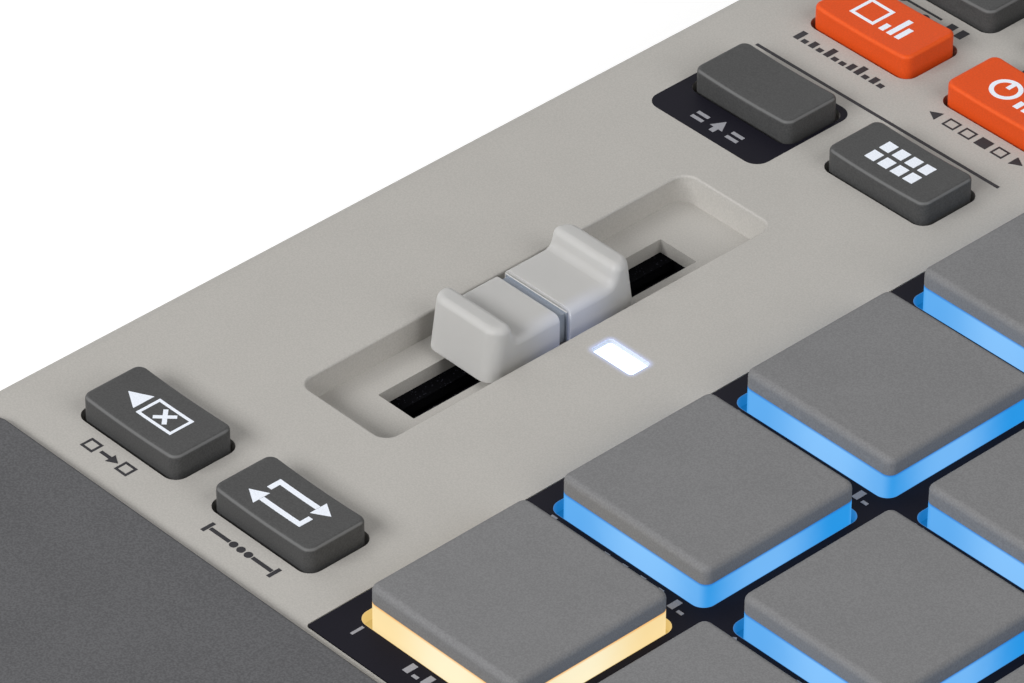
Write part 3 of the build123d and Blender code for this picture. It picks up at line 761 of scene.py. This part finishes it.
def turned(radius_low, radius_high, low, high, centre, segments=64, closed=True):
    """Upright cylinder or cone about a centre."""
    shape = bmesh.new()
    spot = Matrix.Translation((centre.x, centre.y, (low + high) / 2))
    bmesh.ops.create_cone(
        shape, cap_ends=closed, segments=segments, radius1=radius_low, radius2=radius_high, depth=high - low,
        matrix=spot,
    )
    return shape


def ribbed_band(radius_low, radius_high, low, high, centre, ribs, height):
    """Band of upright ribs round a knob."""
    shape = turned(radius_low, radius_high, low, high, centre, 4 * ribs, False)
    crests = [face for face in shape.faces if face.index % 4 < 2]
    slope, wall = 0.12 * MM, 0.4 * MM
    for i in range(0, len(crests), 2):
        bmesh.ops.inset_region(
            shape, faces=crests[i:i + 2], thickness=slope, depth=height, use_even_offset=True
        )
    bmesh.ops.solidify(shape, geom=shape.faces[:], thickness=wall)
    return shape


def washer(outer, inner, thickness, segments=48):
    """Flat ring about the origin, from the level of the origin upwards."""
    shape = bmesh.new()
    loops = []
    for radius in (outer, inner):
        circle = bmesh.ops.create_circle(shape, segments=segments, radius=radius)["verts"]
        loops += {side for vert in circle for side in vert.link_edges}
    faces = bmesh.ops.bridge_loops(shape, edges=loops)["faces"]
    bmesh.ops.recalc_face_normals(shape, faces=faces)
    bmesh.ops.solidify(shape, geom=faces, thickness=thickness)
    lowest = min(vert.co.z for vert in shape.verts)
    bmesh.ops.translate(shape, vec=(0, 0, -lowest), verts=shape.verts)
    sharp = [side for side in shape.edges if side.calc_face_angle(0) > 1]
    rims = [side for side in sharp if side.verts[0].co.z > thickness / 2]
    rounded(shape, rims, thickness * 0.35, 2)
    return shape


# Printed signs, drawn in millimetres


def at(x, y, turn):
    return Matrix.Translation((x, y, 0)) @ Matrix.Rotation(math.radians(turn), 4, "Z")


def bar(shape, x, y, width, height, turn=0.0):
    spot = at(x, y, turn) @ Matrix.Diagonal((width, height, 1, 1))
    return bmesh.ops.create_grid(shape, x_segments=1, y_segments=1, size=0.5, matrix=spot)["verts"]


def disc(shape, x, y, radius, sides=32, turn=0.0):
    spot = at(x, y, turn)
    return bmesh.ops.create_circle(shape, cap_ends=True, segments=sides, radius=radius, matrix=spot)["verts"]


def arrow(shape, x, y, radius, turn=0.0):
    disc(shape, x, y, radius, 3, turn - 90.0)


def hollow(shape, verts, stroke):
    face = verts[0].link_faces[0]
    bmesh.ops.inset_region(shape, faces=[face], thickness=stroke, use_boundary=True)
    bmesh.ops.delete(shape, geom=[face], context="FACES")


def ring(shape, x, y, radius, stroke):
    hollow(shape, disc(shape, x, y, radius), stroke)


def box_line(shape, x, y, width, height, stroke):
    hollow(shape, bar(shape, x, y, width, height), stroke)


def rounded_loop(shape, x, y, width, height, radius):
    verts = bar(shape, x, y, width, height)
    bmesh.ops.bevel(
        shape, geom=verts, offset=radius, offset_type="OFFSET", affect="VERTICES", segments=8,
        profile=0.5, material=-1,
    )


def window_patch(shape, x, y, width, height, radius, hole_x, hole_y, hole_width, hole_height, hole_radius):
    rounded_loop(shape, x, y, width, height, radius)
    rounded_loop(shape, hole_x, hole_y, hole_width, hole_height, hole_radius)
    bmesh.ops.delete(shape, geom=shape.faces[:], context="FACES_ONLY")
    bmesh.ops.bridge_loops(shape, edges=shape.edges[:])


def digits(shape, x, y, words, height):
    curve = bpy.data.curves.new("digits", "FONT")
    curve.body = words
    curve.size = height / 0.7
    curve.offset = 0.05 * height
    curve.align_x = "CENTER"
    curve.align_y = "CENTER"
    text = bpy.data.objects.new("digits", curve)
    mesh = bpy.data.meshes.new_from_object(text)
    mesh.transform(Matrix.Translation((x, y, 0)))
    shape.from_mesh(mesh)
    bpy.data.objects.remove(text)
    bpy.data.curves.remove(curve)
    bpy.data.meshes.remove(mesh)


BARS = [(bar, 1.3, -1.3, 0.85, 1.6), (bar, 2.7, 0.0, 0.85, 4.2), (bar, 4.1, -0.7, 0.85, 2.8)]
KEY_SIGNS = {
    "erase_button": [
        (arrow, -3.4, 0.0, 1.9, 180.0), (box_line, 1.4, 0.0, 6.2, 3.8, 0.6), (bar, 1.4, 0.0, 2.9, 0.6, 45.0),
        (bar, 1.4, 0.0, 2.9, 0.6, -45.0),
    ],
    "repeat_button": [
        (bar, -0.6, 1.8, 7.0, 0.75), (arrow, 3.7, 1.8, 1.5), (bar, -3.73, 0.75, 0.75, 1.35),
        (bar, 0.6, -1.8, 7.0, 0.75), (arrow, -3.7, -1.8, 1.5, 180.0), (bar, 3.73, -0.75, 0.75, 1.35),
    ],
    "bank_button": [(bar, 2.2 * i - 3.3, 2.6 * j - 1.3, 1.6, 1.9) for i in range(4) for j in range(2)],
    "pad_effect_button": [(box_line, -2.2, 0.0, 4.2, 4.2, 0.7)] + BARS,
    "knob_effect_button": [(ring, -2.2, 0.0, 2.2, 0.65), (bar, -2.2, 1.0, 0.65, 1.5)] + BARS,
    "sample_button": [
        (bar, 1.25 * i - 4.4, 0.0, 0.75, h) for i, h in enumerate((1.2, 2.6, 4.6, 3.2, 4.2, 2.2, 3.0, 1.2))
    ],
    "pattern_button": [(bar, 2.2 * i - 3.3, 0.9 * i - 1.35, 1.6, 1.5) for i in range(4)],
    "tempo_button": [(disc, -0.7, -1.4, 1.2), (bar, 0.25, 0.6, 0.6, 4.2), (bar, 0.95, 2.1, 1.9, 0.7, -25.0)],
    "menu_button": [(bar, 0.0, 1.6 * i - 1.6, 6.4, 0.75) for i in range(3)],
    "record_button": [(disc, 0.0, 0.0, 2.0)],
    "stop_button": [(bar, 0.0, 0.0, 3.5, 3.5)],
    "play_button": [(arrow, -0.4, 0.0, 2.4)],
    "power_button": [(ring, 0.0, -0.1, 1.8, 0.5), (bar, 0.0, 1.5, 0.5, 2.0)],
}
UNDER_SIGNS = {
    "erase_button": [
        (box_line, -3.1, 0.0, 2.1, 1.95, 0.5), (bar, -0.6, 0.0, 1.7, 0.5), (arrow, 0.75, 0.0, 0.95),
        (box_line, 3.1, 0.0, 2.1, 1.95, 0.5),
    ],
    "repeat_button": [
        (bar, -5.8, 0.0, 0.55, 1.95), (bar, -3.7, 0.0, 3.4, 0.55), (disc, -1.3, 0.0, 0.55),
        (disc, 0.0, 0.0, 0.55), (disc, 1.3, 0.0, 0.55), (bar, 3.7, 0.0, 3.4, 0.55),
        (bar, 5.8, 0.0, 0.55, 1.95),
    ],
    "pad_effect_button": [
        (bar, 1.36 * i - 7.5, 0.5 * h - 1.0, 0.9, h)
        for i, h in enumerate((2.0, 0.8, 1.4, 0.8, 2.0, 0.8, 0.8, 1.4, 2.0, 0.8, 1.4, 0.8))
    ],
    "knob_effect_button": [
        (arrow, -7.0, 0.0, 1.1, 180.0), (box_line, -4.2, 0.0, 2.0, 1.8, 0.4),
        (box_line, -1.4, 0.0, 2.0, 1.8, 0.4), (bar, 1.4, 0.0, 2.0, 1.8),
        (box_line, 4.2, 0.0, 2.0, 1.8, 0.4), (arrow, 7.0, 0.0, 1.1),
    ],
    "pattern_button": [
        (bar, -2.4, 0.6, 9.4, 0.4), (disc, -4.6, 0.6, 0.7), (bar, -2.4, -0.7, 9.4, 0.4),
        (disc, 0.4, -0.7, 0.7), (bar, 4.4, 0.0, 1.2, 1.9), (bar, 6.4, 0.0, 1.2, 1.9),
    ],
    "tempo_button": [(bar, 1.7 * i - 6.0, 0.0, 0.6, 1.9 if i % 4 == 0 else 1.0) for i in range(8)],
    "menu_button": [(disc, 2.0 * i - 4.0, 0.0, 0.55) for i in range(5)],
    "sample_button": [(disc, -3.0, 0.0, 0.9), (bar, 1.2, 0.5, 5.6, 0.45), (bar, 1.2, -0.5, 5.6, 0.45)],
    "record_button": [(box_line, 0.0, 0.0, 6.0, 1.8, 0.4), (disc, 0.0, 0.0, 0.55)],
    "stop_button": [(bar, -1.0, 0.0, 0.6, 1.9), (arrow, 0.7, 0.0, 1.1, 180.0)],
    "play_button": [(bar, -1.2, 0.0, 0.6, 1.9), (bar, 0.0, 0.0, 0.6, 1.9), (arrow, 1.8, 0.0, 1.1)],
}
SHIFT_SIGN = [
    (arrow, 0.0, 0.35, 1.25, 90.0), (bar, 0.0, -0.7, 0.8, 1.0), (bar, -3.1, 0.55, 2.0, 0.55),
    (bar, -3.1, -0.55, 2.0, 0.55), (bar, 3.1, 0.55, 2.0, 0.55), (bar, 3.1, -0.55, 2.0, 0.55),
]
LINE_PLACE = (-63.04, 42.27)
PATCH_OUTLINE = (-75.0, 31.7, 20.1, 17.4, 2.1)
PATCH_HOLE = (18.3, 10.5, 1.9)
SHIFT_SIGN_ROW = 25.65


def printed(name, body, slot, finish, signs, level, thickness, dish=0.0):
    """Thin printed signs on a level surface, each a list of strokes with its place in millimetres."""
    sheet = bmesh.new()
    for strokes, x, y in signs:
        sign = bmesh.new()
        for layer, (draw, *values) in enumerate(strokes):
            known = len(sign.verts)
            draw(sign, *values)
            sign.verts.ensure_lookup_table()
            bmesh.ops.translate(sign, vec=(0, 0, 0.002 * layer), verts=sign.verts[known:])
        bmesh.ops.translate(sign, vec=(x, y, 0), verts=sign.verts)
        sheet = joined(sheet, sign)
    bmesh.ops.scale(sheet, vec=(MM, MM, MM), verts=sheet.verts)
    for face in sheet.faces:
        if face.normal.z < 0:
            face.normal_flip()
    bmesh.ops.solidify(sheet, geom=sheet.faces[:], thickness=thickness)
    bmesh.ops.translate(sheet, vec=(0, 0, level + 0.75 * thickness), verts=sheet.verts)
    if dish:
        dished(sheet, body, dish)
    return smooth_piece(name, sheet, body, [finish], crease=20.0)


def key_slot(node):
    """Material slot of a push button."""
    return "button_orange" if "effect" in node else "button_dark"


def middle(node):
    """Middle of a node in plan, in millimetres, and the height of its top in metres."""
    low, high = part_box(node)
    return (low.x + high.x) / 2 / MM, (low.y + high.y) / 2 / MM, high.z


# Operators


class SAMPLER_OT_dress_case(Operator):
    """Give the shells, the palm rest and the bezel their moulded finishes, with the lamp's glow painted on
    the panel round it
    """

    bl_idname = "sampler.dress_case"
    bl_label = "Dress Case"

    def execute(self, context):
        look, size = settings(context)
        shell = (look.panel, size.grain, MOULDS["light_shell"])
        # The panel's finish carries the lamp's glow, painted round the lamp window.
        coat(made("light_shell", lamplit, *shell, "level_lamp", look.lamp_halo), "top_panel")
        coat(moulding("dark_shell", look.tray, 1.6 * size.grain), "bottom_case")
        coat(moulding("rest_soft", look.rest, 1.2 * size.grain), "palm_rest")
        coat(moulding("bezel_navy", look.bezel, size.grain), "pad_bezel")
        return {"FINISHED"}


class SAMPLER_OT_make_pads(Operator):
    """Model the silicone pads with grey caps and lit skirts, and the walls of their openings with the pads'
    light painted on
    """

    bl_idname = "sampler.make_pads"
    bl_label = "Make Pads"

    def execute(self, context):
        look, size = settings(context)
        grey = moulding("pad_silicone", look.pad, size.grain)
        cold = (look.glow, look.glow_deep, look.glow_edge, look.glow_wall)
        blue = made("skirt_blue", lit_skirt, *cold, 0.55, 0.3)
        amber = (look.warm, look.warm_deep, look.warm_edge, look.warm_wall)
        warm = made("skirt_warm", lit_skirt, *amber, 0.85, 0.0)
        # Painted light: the walls of the openings glow in the colour of the pads beside them.
        walls = [made("wall_blue", lit_wall, look.glow_wall), made("wall_warm", lit_wall, look.warm_wall)]
        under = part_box("pad_bezel")[0].z
        inset = size.pad_overlap + size.liner_gap
        rim = Vector((inset, inset, size.liner_gap))
        reach = Vector((size.pad_width / 2, size.pad_width / 2, 0))
        liners = []
        for node in PADS:
            first = node == PADS[0]
            low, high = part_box(node)
            flange_top = low.z + size.pad_flange
            liner = sleeve(
                Vector((low.x, low.y, under)) + rim, Vector((high.x, high.y, PANEL)) - rim,
                size.opening_corner - size.liner_gap, size.liner,
            )
            for face in liner.faces:
                face.material_index = int(first)
            liners.append(liner)
            centre = (low + high) / 2 + Vector((0, size.pad_set_back, 0))
            body = rounded_block(
                Vector((centre.x, centre.y, flange_top)) - reach,
                Vector((centre.x, centre.y, high.z)) + reach, size.pad_corner, size.pad_edge,
            )
            split(body, (0, 0, CAP_LINE), (0, 0, 1))
            flange = rounded_block(low, Vector((high.x, high.y, flange_top)), size.flange_corner, 0.0)
            shape = joined(body, flange)
            for face in shape.faces:
                face.material_index = int(face_height(face) < CAP_LINE)
            skirt = warm if first else blue
            smooth_piece(node + "_silicone", shape, node, [grey, skirt], [node])
        smooth_piece("opening_liners", joined(*liners), "case", walls)
        return {"FINISHED"}


class SAMPLER_OT_make_buttons(Operator):
    """Model the push buttons with rounded edges and dished tops"""

    bl_idname = "sampler.make_buttons"
    bl_label = "Make Buttons"

    def execute(self, context):
        look, size = settings(context)
        finishes = {
            "button_dark": moulding("dark_keys", look.key, size.grain),
            "button_orange": moulding("orange_keys", look.accent, size.grain),
        }
        inset = Vector((size.key_margin, size.key_margin, 0))
        for node in BUTTONS:
            low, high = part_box(node)
            flange_top = low.z + size.key_flange
            if node == "power_button":
                centre = (low + high) / 2
                radius = (high.x - low.x) / 2
                body = turned(radius - inset.x, radius - inset.x, flange_top, high.z, centre)
                lid = max(body.faces, key=face_height)
                rounded(body, list(lid.edges), size.key_edge, 5)
                flange = turned(radius, radius, low.z, flange_top, centre)
            else:
                body = rounded_block(
                    Vector((low.x, low.y, flange_top)) + inset, high - inset, size.key_corner, size.key_edge
                )
                dished(body, node, size.key_dish)
                flange = rounded_block(low, Vector((high.x, high.y, flange_top)), size.key_corner, 0.0)
            slot = key_slot(node)
            smooth_piece(node + "_key", joined(body, flange), node, [finishes[slot]], [node])
        return {"FINISHED"}


class SAMPLER_OT_make_fader(Operator):
    """Model the fader cap with its grooved pointer, and finish the slot"""

    bl_idname = "sampler.make_fader"
    bl_label = "Make Fader"

    def execute(self, context):
        look, size = settings(context)
        cap = merged_copy("fader_cap")
        milk = made("milky_cap", milky, look.cap, size.grain, "fader_cap", "level_lamp")
        smooth_piece("fader_grip", cap, "fader", [milk], ["fader_cap"])
        band = moulding("pointer_band", look.pointer, size.grain)
        coat(band, "fader_pointer")
        low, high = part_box("fader_pointer")
        left = low.x - size.lip_rise
        right = high.x + size.lip_rise
        top = high.z + size.lip_rise
        rear = high.y - size.lip_gap
        front = rear - size.lip
        strips = (
            ((left, front, high.z), (right, rear, top), size.lip_edge),
            ((left, front, low.z), (low.x, rear, high.z), 0.0),
            ((high.x, front, low.z), (right, rear, high.z), 0.0),
        )
        blocks = [rounded_block(Vector(a), Vector(b), size.lip_corner, edge) for a, b, edge in strips]
        lip = joined(*blocks)
        # Painted highlight: the top strip of the lip is paler and glossier than the cap, as if it caught the
        # light.
        bright = moulding("painted_lip_highlight", shade(look.cap, 1.35), size.grain)
        line = top - size.lip_line
        split(lip, (0, 0, line), (0, 0, 1))
        for face in lip.faces:
            face.material_index = int(face_height(face) > line)
        smooth_piece("fader_line", lip, "fader", [band, bright])
        coat(made("slot_felt", felted, look.felt), "fader_dust_strip")
        coat(moulding("slide_dark", look.felt, size.grain), "fader_slide", "fader_lever")
        coat(made("lamp_window", lit_window, look.lamp), "level_lamp")
        return {"FINISHED"}


class SAMPLER_OT_make_knobs(Operator):
    """Model the ribbed knobs, their pointers and the data dial"""

    bl_idname = "sampler.make_knobs"
    bl_label = "Make Knobs"

    def execute(self, context):
        look, size = settings(context)
        dark = moulding("knob_dark", look.key, size.grain)
        rubber = moulding("knob_rubber", shade(look.key, 0.75), size.grain)
        white = made("pointer_ink", inked, look.ink_light)
        for node in [*KNOBS, "data_dial"]:
            low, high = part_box(node)
            centre = (low + high) / 2
            radius = (high.x - low.x) / 2
            coat(dark, node)
            count = size.rib_count if node in KNOBS else 2 * size.rib_count
            foot = PANEL + size.grip_foot
            crest = high.z - size.grip_top
            band = ribbed_band(
                radius - size.grip_inset, radius - size.grip_taper, foot, crest, centre, count,
                size.rib_height,
            )
            smooth_piece(node + "_grip", band, node, [rubber], crease=25.0)
            if node in KNOBS:
                half = size.inlay_width / 2
                tip = centre.y + radius - size.inlay_margin
                inlay = rounded_block(
                    Vector((centre.x - half, centre.y + size.inlay_start, high.z - size.inlay_floor)),
                    Vector((centre.x + half, tip, high.z - size.inlay_face)),
                    size.inlay_corner, size.inlay_edge,
                )
                smooth_piece(node + "_pointer", inlay, node, [white])
        return {"FINISHED"}


class SAMPLER_OT_make_display(Operator):
    """Finish the display cover and the picture under it"""

    bl_idname = "sampler.make_display"
    bl_label = "Make Display"

    def execute(self, context):
        look, size = settings(context)
        coat(made("smoked_cover", tinted_glass, "display_window", size.screen_margin), "display_window")
        coat(made("screen", screen_picture, look.screen, "display_module"), "display_module")
        return {"FINISHED"}


class SAMPLER_OT_make_sockets(Operator):
    """Finish the sockets, screws and feet, and add the rings round the sockets"""

    bl_idname = "sampler.make_sockets"
    bl_label = "Make Sockets"

    def execute(self, context):
        look, size = settings(context)
        steel = made("plated_steel", plated, look.metal, 0.32)
        coat(moulding("socket_black", look.socket, size.grain), "audio_sockets")
        coat(steel, "usb_socket", "case_screws", "board_screws")
        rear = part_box("top_panel")[1].y
        rings = []
        turn = Matrix.Rotation(math.radians(-90), 4, "X")
        for mount in frame["record"]["mounts"]:
            if mount["kind"] == "bore":
                rings.append(washer(size.ring_outer, size.ring_inner, size.ring_thickness))
                spot = Matrix.Translation((mount["pos_m"][0], rear - size.ring_seat, mount["pos_m"][2]))
                bmesh.ops.transform(rings[-1], matrix=spot @ turn, verts=rings[-1].verts)
        smooth_piece("socket_rings", joined(*rings), "case", [steel])
        low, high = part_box("feet")
        feet = []
        radius = size.foot_radius
        for x in (low.x + radius, high.x - radius):
            for y in (low.y + radius, high.y - radius):
                foot = turned(radius - size.foot_taper, radius, low.z, high.z, Vector((x, y, 0)))
                sole = min(foot.faces, key=face_height)
                rounded(foot, list(sole.edges), size.foot_edge, 4)
                sole = min(foot.faces, key=face_height)
                bmesh.ops.inset_region(foot, faces=[sole], thickness=size.foot_rim)
                bmesh.ops.inset_region(foot, faces=[sole], thickness=size.foot_slope, depth=-size.foot_hollow)
                feet.append(foot)
        rubber = moulding("foot_rubber", look.foot, size.grain)
        smooth_piece("rubber_feet", joined(*feet), "case", [rubber], ["feet"])
        return {"FINISHED"}


class SAMPLER_OT_finish_insides(Operator):
    """Give the pieces inside the case their finishes"""

    bl_idname = "sampler.finish_insides"
    bl_label = "Finish Insides"

    def execute(self, context):
        look, size = settings(context)
        board = made("solder_mask", circuit, look.board)
        coat(board, "pad_sensor_board", "control_board", "main_board")
        switch = moulding("switch_black", look.switch, size.grain)
        coat(switch, "key_switches", "turn_controls")
        coat(moulding("battery_wrap", look.battery, size.grain), "battery_pack")
        coat(made("guide_clear", tinted_plate, look.guide), "pad_light_guide")
        return {"FINISHED"}


class SAMPLER_OT_print_panel(Operator):
    """Print the patch, the line and the signs on the panel and the bezel"""

    bl_idname = "sampler.print_panel"
    bl_label = "Print Panel"

    def execute(self, context):
        look, size = settings(context)
        dark = made("ink_dark", inked, look.ink_dark)
        grey = made("ink_grey", inked, look.ink_grey)
        signs = []
        for node, strokes in UNDER_SIGNS.items():
            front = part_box(node)[0].y - size.sign_gap
            signs.append((strokes, middle(node)[0], front / MM))
        radius = size.tick_radius / MM
        tick = (size.tick_width / MM, size.tick_length / MM)
        turns = [math.radians(30 * i - 150) for i in range(11)]
        scale = [
            (bar, radius * math.sin(turn), radius * math.cos(turn), *tick, -math.degrees(turn))
            for turn in turns
        ]
        signs += [(scale, *middle(node)[:2]) for node in KNOBS]
        rule = (bar, 0.0, 0.0, size.line_length / MM, size.line_width / MM)
        signs.append(([rule], *LINE_PLACE))
        printed("panel_signs", "case", "light_shell", dark, signs, PANEL, size.ink)
        navy = moulding("bezel_navy", look.bezel, size.grain)
        x, y = middle("shift_button")[:2]
        patch = (window_patch, *PATCH_OUTLINE, x, y, *PATCH_HOLE)
        film = 0.4 * size.ink
        printed("shift_patch", "case", "bezel_navy", navy, [([patch], 0, 0)], PANEL, film)
        sign = (SHIFT_SIGN, x, SHIFT_SIGN_ROW)
        printed("shift_sign", "case", "light_shell", grey, [sign], PANEL + film, size.ink)
        labels = []
        for count, node in enumerate(PADS, 1):
            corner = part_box(node)[0] + Vector((size.pad_overlap, size.pad_overlap, 0))
            front = (corner.y - size.label_gap) / MM
            number = (digits, 0.0, 0.0, str(count), size.number_height / MM)
            labels.append(([number], (corner.x + size.number_inset) / MM, front))
            heights = [0.5 + 0.4 * ((count * 3 + 5 * i * i) % 4) for i in range(10)]
            row = [(bar, 1.5 * i, 0.5 * height - 0.85, 0.9, height) for i, height in enumerate(heights)]
            labels.append((row, (corner.x + size.row_inset) / MM, front))
        printed("pad_signs", "case", "bezel_navy", grey, labels, PANEL, size.ink)
        return {"FINISHED"}


class SAMPLER_OT_print_keys(Operator):
    """Print the signs on the push buttons"""

    bl_idname = "sampler.print_keys"
    bl_label = "Print Keys"

    def execute(self, context):
        look, size = settings(context)
        white = made("ink_light", backlit_ink, look.ink_light)
        for node, strokes in KEY_SIGNS.items():
            x, y, top = middle(node)
            dish = 0.0 if node == "power_button" else size.key_dish
            printed(node + "_sign", node, key_slot(node), white, [(strokes, x, y)], top, size.ink, dish)
        return {"FINISHED"}


class SAMPLER_OT_set_stage(Operator):
    """Set the floor, the soft lights and the camera"""

    bl_idname = "sampler.set_stage"
    bl_label = "Set Stage"

    def execute(self, context):
        scene = context.scene
        stage = scene.sampler_stage
        scene.view_settings.view_transform = "Standard"
        ground = bmesh.new()
        bmesh.ops.create_grid(ground, x_segments=1, y_segments=1, size=stage.floor)
        mesh = stored("floor", ground)
        mesh.materials.append(made("pale_floor", pale_floor))
        floor = placed("floor", mesh)
        for name, towards, wide, tall, watts in (
            ("front_light", Vector((-0.12, -0.85, 0.56)), 1.3, 0.45, stage.front_power),
            ("right_light", Vector((0.8, 0.1, 0.6)), 1.1, 1.1, stage.right_power),
            ("left_light", Vector((-0.7, 0.0, 0.7)), 0.9, 0.9, stage.left_power),
        ):
            lamp = bpy.data.lights.new(name, "AREA")
            lamp.shape = "RECTANGLE"
            lamp.size = wide
            lamp.size_y = tall
            lamp.energy = watts
            light = placed(name, lamp)
            light.location = stage.distance * towards.normalized()
            light.rotation_euler = towards.to_track_quat("Z", "Y").to_euler()
        scene.world = even_light(Shading(bpy.data.worlds.new("studio")), stage.fill)
        data = bpy.data.cameras.new("camera")
        data.sensor_width = 36.0
        data.lens = stage.lens
        data.clip_start = 0.01
        camera = placed("camera", data)
        turn = Matrix.Rotation(stage.heading, 4, "Z") @ Matrix.Rotation(math.pi / 2 + stage.pitch, 4, "X")
        camera.matrix_world = Matrix.Translation(stage.place) @ turn @ Matrix.Rotation(stage.roll, 4, "Z")
        scene.camera = camera
        return {"FINISHED"}


def pale_floor(finish):
    """Pale floor that the camera sees as white where no shadow falls."""
    cloud = finish.noise(0.3, 2.0)
    return finish.surface(
        Base_Color=finish.mix(cloud, (0.66, 0.66, 0.66), (0.68, 0.68, 0.68)),
        Roughness=0.9,
        Specular_IOR_Level=0.0,
        Emission_Color=finish.mix(finish.seen(), BLACK, (0.48, 0.48, 0.48)),
        Emission_Strength=1.0,
    )


def even_light(sky, fill):
    """Even light all round, white where it is seen directly, in gloss or through glass."""
    return sky.close("Background", Color=(1.0, 1.0, 1.0), Strength=fill + (1 - fill) * sky.seen())


class SAMPLER_PT_sidebar(Panel):
    """Lists the steps that dress the sampler"""

    bl_label = "Sampler"
    bl_idname = "SAMPLER_PT_sidebar"
    bl_space_type = "VIEW_3D"
    bl_region_type = "UI"
    bl_category = "Sampler"

    def draw(self, context):
        for operator in OPERATORS:
            self.layout.operator(operator.bl_idname)


GROUPS = {"sampler_colours": SamplerColours, "sampler_sizes": SamplerSizes, "sampler_stage": SamplerStage}
OPERATORS = (
    SAMPLER_OT_dress_case,
    SAMPLER_OT_make_pads,
    SAMPLER_OT_make_buttons,
    SAMPLER_OT_make_fader,
    SAMPLER_OT_make_knobs,
    SAMPLER_OT_make_display,
    SAMPLER_OT_make_sockets,
    SAMPLER_OT_finish_insides,
    SAMPLER_OT_print_panel,
    SAMPLER_OT_print_keys,
    SAMPLER_OT_set_stage,
)


def register():
    for group in GROUPS.values():
        bpy.utils.register_class(group)
    for name, group in GROUPS.items():
        setattr(bpy.types.Scene, name, PointerProperty(type=group))
    for operator in OPERATORS:
        bpy.utils.register_class(operator)
    bpy.utils.register_class(SAMPLER_PT_sidebar)


def unregister():
    bpy.utils.unregister_class(SAMPLER_PT_sidebar)
    for operator in reversed(OPERATORS):
        bpy.utils.unregister_class(operator)
    for name, group in GROUPS.items():
        delattr(bpy.types.Scene, name)
        bpy.utils.unregister_class(group)


def main():
    register()
    bpy.ops.sampler.dress_case()
    bpy.ops.sampler.make_pads()
    bpy.ops.sampler.make_buttons()
    bpy.ops.sampler.make_fader()
    bpy.ops.sampler.make_knobs()
    bpy.ops.sampler.make_display()
    bpy.ops.sampler.make_sockets()
    bpy.ops.sampler.finish_insides()
    bpy.ops.sampler.print_panel()
    bpy.ops.sampler.print_keys()
    bpy.ops.sampler.set_stage()


if __name__ == "__main__":
    main()
